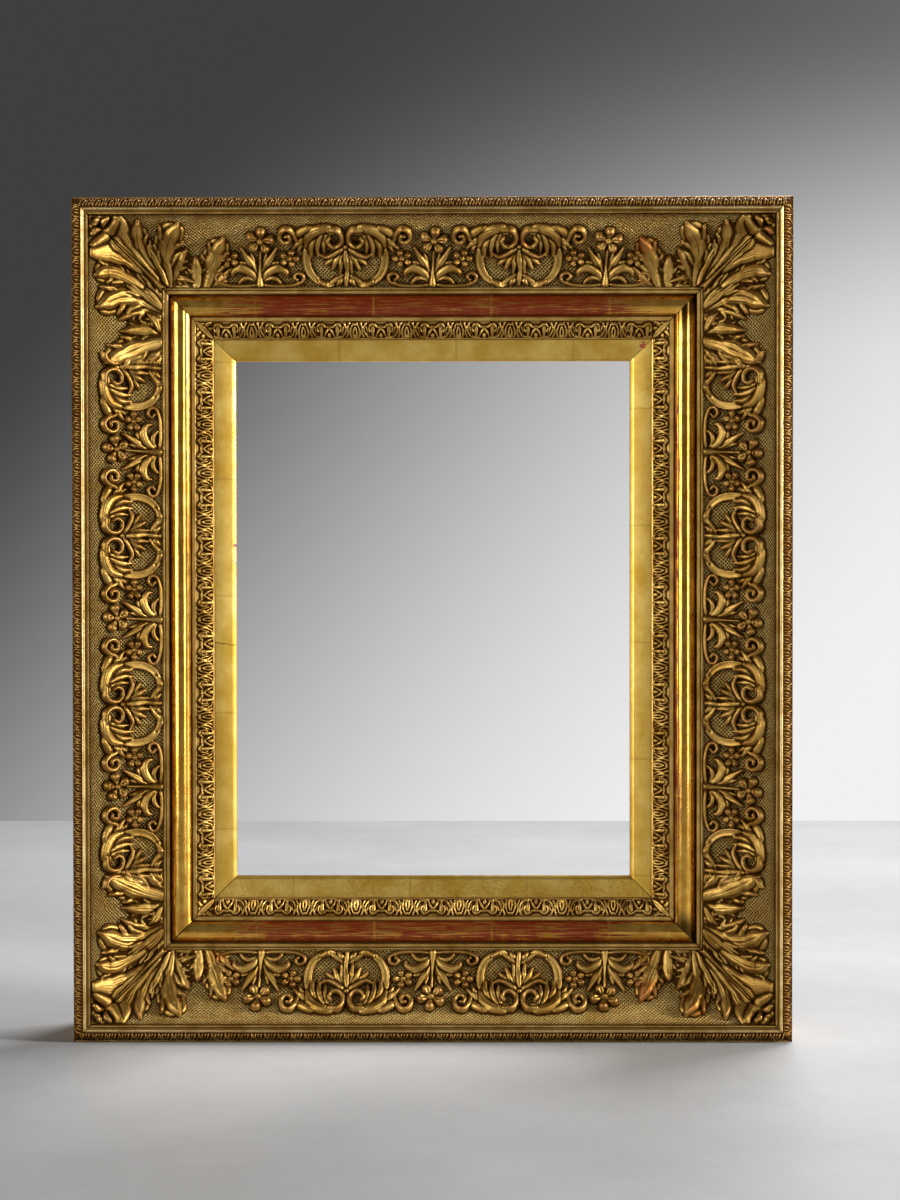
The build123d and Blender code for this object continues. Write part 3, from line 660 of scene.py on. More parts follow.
# %% Draw the cartouche
# Each row is a stroke of the right half: its line, half widths, heights, section and veins, from the lowest up
cartouche_rows = (
    # the strap, and the clasp at its foot
    ([(22.4, 76.0), (25.2, 68), (24.8, 60), (20.8, 53), (12.6, 47.9)], [2.5, 2.7, 2.7, 2.4, 1.5],
     [2.6, 3.0, 3.0, 2.8, 2.2], "band"),
    ([(17.0, 50.8), (12.2, 48.6), (8.2, 49.0)], [1.5, 2.6, 1.1], [3.4, 4.6, 3.0], "leaf", 2),
    # the leaf at the foot of the palmette
    ([(0.6, 55.2), (5.0, 53.0), (9.2, 50.2), (10.8, 48.6)], [1.4, 2.0, 1.7, 0.8], [3.0, 3.8, 3.2, 2.2], "leaf", 1),
    ([(0.5, 53.2), (3.8, 50.8), (5.6, 48.8)], [1.3, 1.9, 1.0], [3.0, 3.8, 2.6], "leaf", 1),
    # the sheet under the plume, and the feathers that hang from it over the strap
    ([(7, 81.4), (14, 80.4), (21, 78.4), (28, 76.6)], [2.6, 4.8, 5.2, 3.0], [2.2, 3.0, 3.0, 2.2], "leaf", 4),
    ([(12.4, 79.0), (14.0, 74.0), (13.6, 69.0)], [1.6, 2.0, 0.8], [3.2, 4.2, 3.0], "leaf", 1),
    ([(15.4, 80.0), (18.0, 73.6), (17.8, 66.0)], [1.9, 2.3, 0.8], [3.4, 4.4, 3.0], "leaf", 1),
    ([(18.8, 80.4), (22.2, 74.0), (22.0, 66.6)], [2.0, 2.6, 0.9], [3.4, 4.6, 3.2], "leaf", 2),
    # the leaves that run outward, and the rosette that they roll up to
    ([(19.0, 79.6), (26.6, 77.0), (30.4, 70.4)], [2.2, 3.2, 1.0], [3.6, 4.8, 3.4], "leaf", 2),
    ([(24.0, 79.0), (29.6, 75.4), (34.2, 71.4)], [1.8, 2.4, 0.8], [3.4, 4.2, 3.0], "leaf", 1),
    ([(16.0, 82.6), (23.6, 82.4), (29.6, 80.6), (33.4, 77.6)], [2.2, 3.2, 2.8, 1.4], [3.6, 4.6, 4.4, 3.4], "leaf", 2),
    ([(31.6, 76.4), (33.4, 80.6), (37.0, 83.2), (41.0, 81.8), (42.2, 78.0), (39.4, 75.2), (35.8, 76.4), (36.4, 79.6),
      (38.6, 79.4)], [1.5, 1.9, 2.0, 2.0, 1.9, 1.8, 1.6, 1.4, 1.2],
     [3.0, 4.0, 4.6, 4.6, 4.4, 4.2, 4.4, 4.8, 5.2], "round"),
    # the back of the plume, and the roll of the volute round its dark eye
    ([(6.0, 82.4), (11.6, 83.2), (18.2, 82.2), (23.4, 79.0), (25.8, 73.0)], [2.2, 3.2, 3.7, 3.5, 1.4],
     [4.2, 5.0, 5.2, 4.8, 3.4], "leaf", 2),
    ([(10.8, 82.8), (5.4, 82.8), (2.3, 79.8), (2.2, 75.8), (5.2, 73.0), (9.2, 73.2), (11.2, 75.8), (9.8, 78.0)],
     [1.8, 2.3, 2.1, 2.0, 1.9, 1.8, 1.6, 1.3], [4.8, 5.2, 5.2, 5.0, 4.8, 4.6, 4.4, 4.4], "round"),
    # the palmette: its sheet, its hanging lobes, and the canopy with its thick front edge
    ([(0.5, 70.6), (4.4, 66.6), (9.4, 64.8), (14.0, 65.6)], [2.0, 4.0, 3.2, 1.0], [2.4, 3.0, 2.8, 2.0], "leaf", 4),
    ([(3.0, 69.6), (8.4, 65.4), (13.2, 61.8)], [1.6, 2.6, 1.2], [3.4, 4.4, 3.4], "leaf", 2),
    ([(1.8, 69.6), (5.8, 64.0), (8.8, 58.6)], [1.6, 2.6, 1.1], [3.4, 4.6, 3.4], "leaf", 2),
    ([(0.8, 69.4), (2.8, 63.0), (3.6, 56.6)], [1.4, 2.3, 1.1], [3.4, 4.8, 3.4], "leaf", 1),
    ([(0.4, 72.4), (3.8, 70.6), (8.2, 68.2), (12.8, 66.6), (16.8, 68.0)], [1.4, 1.7, 1.7, 1.5, 0.9],
     [4.2, 5.0, 5.2, 4.8, 3.6], "leaf", 1),
)


def half_cartouche(relief):
    """The right half of the cartouche."""
    for row in cartouche_rows:
        relief.over(relief.stroke, *row)


def draw_cartouche(relief):
    """The whole cartouche, with the lobe and the bead that stand on its middle line."""
    relief.mirrored(half_cartouche)
    relief.over(relief.stroke, [(0.0, 70.0), (0.3, 64.0), (0.8, 57.6), (0.3, 53.0), (0.0, 48.8)],
                [1.5, 2.3, 1.5, 1.7, 1.4], [3.6, 5.0, 3.8, 4.0, 3.0], "leaf", 1)
    relief.over(relief.bead, 0.0, 73.0, 2.0, 4.6)


print("strokes in a cartouche", 2 * len(cartouche_rows) + 2)

# %% [markdown]
# ## The spray
# Between two cartouches stands a small bunch: one flower at the top, one on each side, long and broad leaves, and at
# the foot two thin scrolls that end in beads.

# %% Draw the spray
spray_rows = (
    ([(0.8, 52), (7, 58.0), (13, 62.0), (17.5, 64.0)], [0.9, 1.0, 1.0, 0.9], [2.6, 2.8, 2.8, 2.6]),
    ([(0.8, 54), (3.0, 61), (4.8, 68.0)], [1.1, 1.8, 0.8], [2.6, 3.6, 2.8], "leaf", 1),
    ([(1.2, 53), (5.6, 62), (11.6, 72.0)], [1.5, 3.1, 0.9], [2.8, 4.4, 3.0], "leaf", 1, 0.9, 0.2),
    ([(5.0, 57.4), (10.5, 62.4), (15.2, 61.6)], [1.1, 2.0, 0.8], [2.8, 3.8, 2.8], "leaf", 1),
    ([(2, 48.8), (9, 48.0), (17, 48.0), (23, 48.8), (28.0, 51.0), (28.4, 54.6), (24.8, 56.2), (22.4, 53.8),
      (24.4, 52.0)], [1.2, 1.4, 1.4, 1.3, 1.3, 1.4, 1.4, 1.3, 1.2], [2.6, 3.0, 3.0, 3.0, 3.4, 3.8, 4.0, 4.2, 4.4]),
    ([(1.2, 50.6), (5.6, 53.2), (10.2, 52.8), (13.4, 50.2)], [1.3, 2.0, 1.9, 1.1], [3.0, 3.8, 3.8, 3.0], "leaf", 1),
    ([(1.4, 52.0), (6.5, 57.2), (12.4, 59.4), (17.2, 57.0), (17.8, 54.0)], [1.5, 2.8, 3.2, 2.0, 0.9],
     [3.2, 4.6, 4.8, 4.2, 3.0], "leaf", 2, 0.9, 0.1),
)


def half_spray(relief):
    """The right half of the spray."""
    for row in spray_rows:
        relief.over(relief.stroke, *row)
    relief.over(relief.flower, 19.6, 65.4, 6.4, 4.6, 5, 0.3)


def draw_spray(relief):
    """The whole spray."""
    relief.mirrored(half_spray)
    relief.over(relief.stroke, [(0, 48.6), (0.2, 54), (0.4, 60), (1.0, 70)], [2.6, 1.7, 1.0, 0.9],
                [4.0, 3.4, 2.8, 2.8])
    relief.over(relief.flower, 1.2, 76.2, 9.0, 5.2, 5, 0.15)


print("strokes in a spray", 2 * len(spray_rows) + 1, "and three flowers")

# %% [markdown]
# ## The corner leaf
# The corner hides the mitre under one big acanthus. From the foot of the mitre springs a rib with a broad fluted
# fan, and along the foot of the cove leaves roll outward, two of them large, with tips that swell and shine. The
# halves on the upright and on the level rails differ: the level one is shorter and its tips turn in more. A row of
# each table is one leaf: its line as distances from the sight corner, its half widths, its heights, and its flutes.

# %% Leaves of the corner
upright_leaves = (
    # the foot band, then leaves from the far end to the fan; a later row lies over its neighbours
    ([(50, 49), (34, 48.2), (18, 48.0), (4, 48.2), (-3, 48.8)], [3.0, 2.2, 1.8, 1.4, 0.6],
     [4.5, 3.0, 2.8, 2.4, 1.8], 1),
    ([(6, 49), (1.0, 55), (-4.4, 62)], [2.4, 3.0, 0.9], [2.8, 4.2, 3.2], 1),
    ([(12, 47.6), (9.5, 57), (5.0, 67), (0.5, 75.5), (-4.0, 81.8)], [4.6, 5.6, 6.8, 6.0, 1.4],
     [3.4, 4.4, 5.8, 6.6, 4.4], 3),
    ([(20, 47.6), (19.2, 56), (18.6, 64), (17.2, 72.6)], [3.4, 4.2, 4.2, 0.9], [3.4, 4.4, 5.2, 4.0], 2),
    ([(19, 48.6), (25.6, 51.8), (31.2, 57.4)], [1.6, 3.4, 0.9], [4.2, 5.4, 4.6], 1),
    ([(34, 52), (33.0, 60), (29.8, 67), (25.0, 72.8)], [3.0, 3.8, 3.9, 1.2], [3.6, 4.6, 5.4, 4.2], 2),
    ([(33, 47.6), (38.0, 57), (39.6, 66), (39.0, 74.0), (35.8, 80.6), (31.4, 86.2)], [3.6, 4.6, 5.8, 7.0, 6.2, 1.2],
     [3.8, 4.8, 5.6, 6.8, 7.2, 4.6], 3),
    ([(34, 47.6), (41.6, 56), (48.6, 66), (53.2, 72.5), (56.6, 76)], [2.6, 4.6, 4.8, 3.6, 1.0],
     [4.4, 5.2, 6.0, 6.4, 5.0], 2),
    ([(47, 60), (51.6, 69), (54.6, 77.0), (54.2, 83.0), (51.8, 86.8)], [2.6, 3.8, 4.6, 4.8, 1.6],
     [3.6, 4.4, 5.2, 6.0, 4.4], 2),
)
level_leaves = (
    ([(50, 49), (38, 48.2), (26, 48.0), (12, 48.2), (4, 48.8)], [3.0, 2.2, 1.8, 1.4, 0.6],
     [4.5, 3.0, 2.8, 2.4, 1.8], 1),
    ([(13, 49), (7.0, 54), (0.6, 59.4)], [2.2, 2.9, 0.9], [2.8, 4.0, 3.0], 1),
    ([(19, 47.8), (15.6, 56), (12.0, 64), (8.6, 72), (4.6, 77.8)], [4.0, 5.0, 5.8, 4.8, 1.2],
     [3.4, 4.4, 5.8, 6.4, 4.4], 3),
    ([(24, 47.8), (23.4, 56), (23.4, 62), (24.0, 66.6)], [3.2, 4.0, 3.6, 0.9], [3.4, 4.4, 5.0, 4.0], 2),
    ([(41, 52.5), (34, 53.4), (25.4, 50.6)], [1.8, 2.8, 0.8], [4.2, 5.0, 3.8], 1),
    ([(39, 53), (37.2, 60), (33.8, 66), (29.6, 70.8)], [3.0, 4.2, 4.2, 1.4], [3.6, 4.6, 5.4, 4.4], 2),
    ([(42, 48), (43.2, 58), (42.8, 67), (41.0, 75), (37.4, 81.2), (33.4, 85.6)], [3.0, 4.0, 5.0, 6.2, 5.4, 1.4],
     [3.8, 4.8, 5.6, 6.8, 7.2, 4.6], 3),
    ([(44, 49), (48.6, 58), (53.0, 67), (56.6, 73.6), (59.6, 77.4)], [2.4, 4.4, 4.6, 3.6, 1.0],
     [4.4, 5.2, 6.0, 6.4, 5.0], 2),
    ([(48, 50), (55.0, 62), (59.6, 72), (60.4, 80), (58.8, 86.6)], [2.2, 3.6, 4.4, 4.8, 1.6],
     [4.0, 4.8, 5.4, 6.0, 4.4], 2),
)
upright_fan = (
    ([(46.5, 46.4), (55, 54), (62.4, 65), (67.2, 74.5), (68.4, 81.6), (65.6, 89.2)],
     [1.8, 3.2, 4.8, 7.2, 8.0, 3.4], [6.0, 6.2, 6.0, 5.4, 4.8, 3.4], 4),
    ([(57, 58), (66, 68), (73.4, 76.5), (76.4, 81)], [1.8, 3.2, 5.0, 2.0], [6.4, 6.4, 5.8, 4.4], 2),
)
level_fan = (
    ([(46.4, 46.5), (54.6, 57.4), (63.6, 68), (69.6, 76.2), (71.6, 82.4), (70.8, 89.2)],
     [1.8, 3.2, 4.8, 7.2, 7.8, 2.8], [6.0, 6.2, 6.0, 5.6, 5.0, 3.6], 4),
    ([(57, 58), (67, 68.6), (75, 77.5), (77.6, 81)], [1.6, 3.0, 4.4, 2.0], [6.4, 6.4, 5.6, 4.4], 2),
)
# The leaf that rolls over in the outer corner, as it lies on one half: its lobes, then the roll across the mitre
crown_rows = (
    ([(77.6, 88.8), (80.6, 87.6), (82.4, 85.2)], [1.6, 2.5, 2.0], [4.4, 6.0, 5.6], "leaf", 1),
    ([(84.0, 88.6), (86.2, 87.4), (87.0, 86.4)], [1.4, 2.2, 2.0], [4.4, 5.6, 5.6], "round"),
    ([(70.4, 88.8), (73.6, 86.2), (77.6, 83.0), (82.6, 81.4)], [1.5, 3.2, 4.4, 4.2], [3.6, 6.0, 7.4, 7.2], "leaf", 3),
)
print("leaves in a corner", sum(map(len, (upright_leaves, level_leaves, upright_fan, level_fan))))

# %% Draw half of a corner leaf
corner_round = 9.5


def draw_corner(relief, upright):
    """Half a corner leaf, as it lies over one rail, and the rib on the mitre."""
    # The rim is rounded in the outer corner: a low web with a bead along its edge
    out = cove_place(relief.arc, 0.0)[0]
    start = cove_end - corner_round
    away = np.hypot(np.maximum(relief.run - start, 0), np.maximum(out - start, 0)) - corner_round
    web = np.where(away > -1.6, 1.6 + 1.5 * np.exp(-(away / 0.8) ** 2), -sink)
    inside = (relief.run > start) & (out > start)
    relief.height = np.where(inside, web, relief.height)
    # A low sheet joins the feet of the leaves
    sheet_end = 2 if upright else 8
    relief.over(relief.stroke, [(52, 55), (36, 53.5), (20, 52.6), (sheet_end, 50.4)], [9.5, 8.4, 6.6, 1.8],
                [4.0, 3.2, 2.6, 1.6], "leaf", 3, 0.8)
    for line, widths, heights, flutes in upright_leaves if upright else level_leaves:
        relief.leaf(line, widths, heights, flutes)
    for line, widths, heights, flutes in upright_fan if upright else level_fan:
        relief.over(relief.stroke, line, widths, heights, "leaf", flutes, 1.4, 0.0, 4)
    for row in crown_rows:
        relief.over(relief.stroke, *row)
    # The rib on the mitre
    relief.over(relief.stroke, [(45.5, 45.5), (54, 54), (64, 64), (77, 77)], [2.4, 1.6, 1.3, 0.9],
                [7.4, 7.6, 7.2, 5.6], "round", 0, 2.5)


# %% [markdown]
# ## Relief onto the cove
# A drawn field becomes a mesh by lifting every point of a grid square off the cove by its height. Outside the
# strokes the field dips below the surface, so the outline is the clean line where the two cross. The wear and the
# painted shade read how far a point stands above or below its surroundings. Each ornament is pressed once, as from
# the reverse mould of the shop.

# %% Press one ornament


# Wear and painted shade compare a place with its surroundings within 1.6 mm; 0.8 mm higher counts as fully worn
wear_and_shade_reach, wear_and_shade_range = 1.6, 0.8


def wear_and_shade_of(height, step):
    """How far each place stands above or below its surroundings, from about -1 to 1."""
    seen = np.maximum(height, 0)
    return (seen - blurred(seen, max(1, round(wear_and_shade_reach / step)))) / wear_and_shade_range


def unit_place(run, out, level):
    """A place in a unit: run, outward and level as on the top rail, from the sight edge, in metres."""
    run, out, level = np.broadcast_arrays(run, out, level)
    return np.stack([run, back_y - level, out], -1) * MM


def softened(height):
    """Heights with their creases filled a little, as composition comes out of the mould."""
    return blurred(height, 1) * 0.35 + height * 0.65


# The ornament keeps clear of the fillets at both edges of the cove
arcs = np.arange(0.4, cove_length - 0.4, grid_step)


def pressed_height(draw, span):
    """The grid of one ornament over the cove, and its heights."""
    run, arc = np.meshgrid(np.arange(-span, span + grid_step, grid_step), arcs, indexing="ij")
    relief = Relief(run, arc)
    draw(relief)
    return run, arc, softened(relief.height)


def press(name, field, low_limit=-np.inf, high_limit=np.inf):
    """One ornament as a closed mesh, with its middle at run zero, cut off beyond the limits."""
    run, arc, height = field
    level = np.where((run > low_limit) & (run < high_limit), height, -sink)
    front, back = (unit_place(run, *cove_place(arc, lift)) for lift in (level, -sink))
    uv = np.stack([run, arc], -1) * MM
    shell = closed_grid(front, back, uv, wear_and_shade_of(level, grid_step), cells_with(level > -0.5 * sink))
    return finish_mesh(name, *shell, [composition_gilt])


cartouche_field = pressed_height(draw_cartouche, 43.5)
spray_field = pressed_height(draw_spray, 31)
cartouche_unit = press("cartouche_unit", cartouche_field)
spray_unit = press("spray_unit", spray_field)
print("faces of a cartouche", len(cartouche_unit.data.polygons), "and of a spray", len(spray_unit.data.polygons))

# %% [markdown]
# ## Setting units along a rail
# The gilder's shop glued the pressings on at an even pitch, and the small strips are one pattern over and over. That
# is work for Geometry Nodes: a line of points, a unit on each, made real, and given its finish. The tree adds the
# units to whatever mesh carries it, so a strip can take two kinds of unit in turn. A modifier knows its inputs only
# by their identifiers, so one function finds those by name.

# %% The tree that repeats


def start_group(name, sockets):
    """A tree for a modifier, with named inputs and one result, and its inputs as seen from inside."""
    group = bpy.data.node_groups.new(name, "GeometryNodeTree")
    group.is_modifier = True
    for socket, kind in sockets.items():
        group.interface.new_socket(socket, in_out="INPUT", socket_type=f"NodeSocket{kind}")
    group.interface.new_socket("Result", in_out="OUTPUT", socket_type="NodeSocketGeometry")
    return group, group.nodes.new("NodeGroupInput").outputs


def give_group(carrier, group, values):
    """Puts a tree on an object, with values for its named inputs."""
    modifier = carrier.modifiers.new(group.name, "NODES")
    modifier.node_group = group
    for item in group.interface.items_tree:
        if item.in_out == "INPUT" and item.name in values:
            value = values[item.name]
            modifier[item.identifier] = tuple(float(part) for part in value) if np.ndim(value) else value


setting, given = start_group("set_along_rail", {
    "Base": "Geometry", "Unit": "Object", "Count": "Int", "First place": "Vector", "Step": "Vector",
    "Turn": "Vector", "Stretch": "Vector", "Finish": "Material",
})
line = add(setting, "GeometryNodeMeshLine", {
    "Count": given["Count"], "Start Location": given["First place"], "Offset": given["Step"],
}, mode="OFFSET")
placed = add(setting, "GeometryNodeInstanceOnPoints", {
    "Points": line, "Instance": add(setting, "GeometryNodeObjectInfo", {"Object": given["Unit"]}, "Geometry"),
    "Rotation": given["Turn"], "Scale": given["Stretch"],
})
real = add(setting, "GeometryNodeRealizeInstances", {"Geometry": placed})
dressed = add(setting, "GeometryNodeSetMaterial", {"Geometry": real, "Material": given["Finish"]})
joined = add(setting, "GeometryNodeJoinGeometry", {"Geometry": dressed})
setting.links.new(given["Base"], joined.node.inputs["Geometry"])
add(setting, "NodeGroupOutput", {"Result": joined})
turn_of = {"top": 0.0, "right": pi / 2, "bottom": pi, "left": 3 * pi / 2}
print("nodes of the tree", len(setting.nodes))


def set_units(name, side, rows, base=None):
    """A plain mesh of units along a rail. rows are (unit, count, first run, step, stretch, finish)."""
    carrier = base or into_scene(name, bpy.data.meshes.new(name))
    middle = np.array((0, 0, outer_height / 2)) + half_sight[side] * np.array(outward[side])
    for unit, count, first, step, stretch, finish in rows:
        give_group(carrier, setting, {
            "Unit": unit, "Count": count, "First place": (middle + first * np.array(along[side])) * MM,
            "Step": step * np.array(along[side]) * MM, "Turn": (0.0, turn_of[side], 0.0),
            "Stretch": (stretch, 1.0, 1.0), "Finish": finish,
        })
    mesh = as_mesh(carrier, name)
    carrier.modifiers.clear()
    carrier.data = mesh
    carrier.name = name
    return carrier


# %% Cartouches and sprays on the rails
corner_reach, corner_gap = 105, 0.4
cartouche_inset, spray_inset = 1.9, 13.5
free_run = {side: half_run[side] + moulding_width - corner_reach - corner_gap for side in sides}
pitch = {side: free_run[side] - spray_inset if side in level_sides else (free_run[side] - cartouche_inset) / 1.5
         for side in sides}
print("pitch", {side: round(value, 2) for side, value in pitch.items()})
for side in sides:
    step = pitch[side]
    sprays = set_units(f"gilt_flower_sprays_{side}", side, [(spray_unit, 3, -step, step, 1.0, composition_gilt)])
    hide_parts(*[f"flower_spray_{side}_{number}" for number in (1, 2, 3)])
    cartouches = set_units(f"gilt_cartouches_{side}", side,
                           [(cartouche_unit, 2, -step / 2, step, 1.0, composition_gilt)])
    numbers = (1, 2) if side in level_sides else (2, 3)
    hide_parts(*[f"cartouche_{side}_{number}" for number in numbers])
    for made in (sprays, cartouches):
        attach(made, "frame")

# %% [markdown]
# On the upright rails the outermost cartouches run in under the corner leaves, so those are cut there, 7 mm beyond
# the place where the corner leaf begins.

# %% Cartouches cut by the corner leaves
tuck = 7
for side in upright_sides:
    for number, way in ((1, -1), (4, 1)):
        middle_run = way * 1.5 * pitch[side]
        limit = way * (free_run[side] + tuck) - middle_run
        cut = press("cut_unit", cartouche_field, *((limit, np.inf) if way < 0 else (-np.inf, limit)))
        made = set_units(f"gilt_cartouche_{side}_{number}", side, [(cut, 1, middle_run, 0.0, 1.0, composition_gilt)])
        bpy.data.objects.remove(cut)
        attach(made, "frame")
        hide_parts(f"cartouche_{side}_{number}")

# %% [markdown]
# The corner leaf turns round the mitre. Its two halves are pressed on their own rails, and near the mitre the
# direction in which points are lifted swings to the front, so that both halves meet in one line.

# %% Place the corner leaves
corner_names = {"top": "top_right", "right": "bottom_right", "bottom": "bottom_left", "left": "top_left"}
next_side = dict(zip(sides, sides[1:] + sides[:1]))
# The leaf reaches 96 mm inward from the mitre, and within 14 mm of it the points are lifted more to the front
corner_span, swing_width = 96, 14


def corner_half(side, way):
    """Half of a corner leaf, on the rail whose run ends there. way is 1 at the end of the run, -1 at its start."""
    inward, arc = np.meshgrid(np.arange(0, corner_span, grid_step), arcs, indexing="ij")
    foot_out, foot_level = cove_place(arc, 0.0)
    distance = foot_out - inward
    relief = Relief(distance, arc)
    draw_corner(relief, side in upright_sides)
    height = softened(relief.height)
    turn = first_turn + arc / cove_radius
    swing = 0.5 * np.clip(1 - inward / swing_width, 0, 1) ** 2 * np.sin(turn)
    lift_run, lift_out, lift_level = swing, -np.sin(turn) + swing, np.cos(turn)
    size = np.sqrt(lift_run**2 + lift_out**2 + lift_level**2)
    surfaces = []
    for lift in (height, np.full_like(height, -sink)):
        run = half_run[side] + distance - lift * lift_run / size
        out, level = foot_out + lift * lift_out / size, foot_level + lift * lift_level / size
        surfaces.append(on_rail(side, way * run, out, level))
    uv = np.stack([way * (half_run[side] + distance), arc], -1) * MM
    half = (*surfaces, uv, wear_and_shade_of(height, grid_step), cells_with(height > -0.5 * sink))
    return [part[::-1] for part in half] if way == 1 else half


for side in sides:
    halves = [corner_half(side, 1), corner_half(next_side[side], -1)]
    joined = [np.concatenate([halves[0][part], halves[1][part][1:]]) for part in range(4)]
    joined.append(np.concatenate([halves[0][4], halves[1][4]]))
    made = finish_mesh(f"gilt_corner_leaf_{corner_names[side]}", *closed_grid(*joined), [composition_gilt])
    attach(made, "frame")
    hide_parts(f"corner_leaf_{corner_names[side]}")
print("triangles in a corner leaf", 2 * len(made.data.polygons))

# %% [markdown]
# ## The mouldings
# A moulding is its section pushed along the rail and cut at both mitres. The section is walked band by band, and
# each band has its own finish: the burnished torus, the toned fillets, the netted cove, the painted side.

# %% Sweep the mouldings


def arc_points(start, end, rise, count):
    """Points of the arc from start to end that swells by a rise to its left, as seen along the way."""
    start, end = np.array(start, float), np.array(end, float)
    chord = end - start
    reach = np.hypot(*chord)
    radius = (reach**2 / 4 + rise**2) / (2 * abs(rise))
    left = np.array((-chord[1], chord[0])) / reach
    centre = (start + end) / 2 - left * (radius - abs(rise)) * np.sign(rise)
    half = asin(reach / 2 / radius)
    return [tuple(centre + np.sign(rise) * left * radius * cos(turn) + chord / reach * radius * sin(turn))
            for turn in np.linspace(-half, half, count)]


# The mitres have opened by a hair, each by its own amount in millimetres, and dust has gathered there
mitre_gap = {"top": 0.55, "right": 0.8, "bottom": 0.9, "left": 0.7}
mitre_dust = -1.6
# Edges that turn by more than this stay crisp in smooth shading
sharp_angle = radians(35)


def swept_stick(name, side, bands, materials, run_step=None, shade_and_wear=None):
    """A mitred stick. bands are (points, material number, relief values) in order round the closed section."""
    points, numbers, values = [], [], []
    for band, number, value in bands:
        for place, point in enumerate(band[:-1]):
            points.append(point)
            numbers.append(number)
            values.append(value[place] if np.ndim(value) else value)
    points = np.array(points)
    out, level = points.T
    length = np.concatenate([[0], np.cumsum(np.hypot(*(np.roll(points, -1, 0) - points).T))])
    steps = 1 if run_step is None else int(2 * (half_run[side] + moulding_width) / run_step)
    hairline = mitre_gap[side] / half_run[side]
    inner = np.linspace(-1, 1, steps + 1)[1:-1]
    share = np.concatenate([[-1, -1 + hairline], inner, [1 - hairline, 1]])[:, None]
    run = share * (half_run[side] + out)
    relief = np.broadcast_to(np.array(values, float), run.shape).copy()
    relief[[0, -1]] = mitre_dust
    if shade_and_wear is not None:
        relief = relief + shade_and_wear(run, points)
    number = np.arange(run.size).reshape(run.shape)
    following = np.roll(number, -1, 1)
    faces = np.stack([number[:-1], number[1:], following[1:], following[:-1]], -1).reshape(-1, 4)
    uv = np.stack(np.broadcast_arrays(run, length[:-1]), -1).reshape(-1, 2) * MM
    made = finish_mesh(name, on_rail(side, run, out, level).reshape(-1, 3), faces[:, ::-1], uv, relief.ravel(),
                       materials, np.tile(numbers, len(share) - 1), sharp_angle)
    cap_ends(made, number)
    return made


def cap_ends(made, number):
    """Closes both mitred ends of a stick."""
    built = bmesh.new()
    built.from_mesh(made.data)
    built.verts.ensure_lookup_table()
    for ring in (number[0], number[-1][::-1]):
        face = built.faces.new([built.verts[int(place)] for place in ring])
        face.material_index = 0
        bmesh.ops.triangulate(built, faces=[face])
    built.to_mesh(made.data)
    built.free()


# %% [markdown]
# Rubbing and shade aren't even. A cloth wears the level rails most, and painted shade, together with toning, lies
# deepest on the ground beside the ornament and along both edges of the cove. Near the mitres the torus gets a painted
# dark reflection. All of it goes into the height that the gilding reads: positive where the gold is worn, negative
# where shade is painted. The ornament's own field is laid on a map of the rail and blurred, which gives its
# surroundings.

# %% Wear and painted shade of the mouldings
torus_count = 33
cove_points = [tuple(float(value) for value in cove_place(arc, 0.0)) for arc in np.linspace(0, cove_length, 45)]
torus_points = arc_points((torus_start, quirk_level), (torus_end, quirk_level), torus_crest, torus_count)
across_torus = np.linspace(-1, 1, torus_count)
# The level rails are rubbed to the clay nearly all over, the right one in part, the left one only at the edges,
# and both more on the half next to the picture, which a cloth reaches first
torus_rub = {"top": 0.86, "bottom": 0.78, "right": 0.42, "left": 0.1}
torus_edge = {"top": 1.0, "bottom": 0.95, "right": 0.7, "left": 0.42}
torus_lean = {"top": 0.0, "bottom": 0.0, "right": -0.24, "left": -0.2}
# Within 20 mm of the mitres the torus is darkened with a painted dark reflection, the right rail most
mitre_painted_shade = {"top": 0.25, "right": 1.5, "bottom": 0.25, "left": 0.35}
mitre_shade_reach = 20


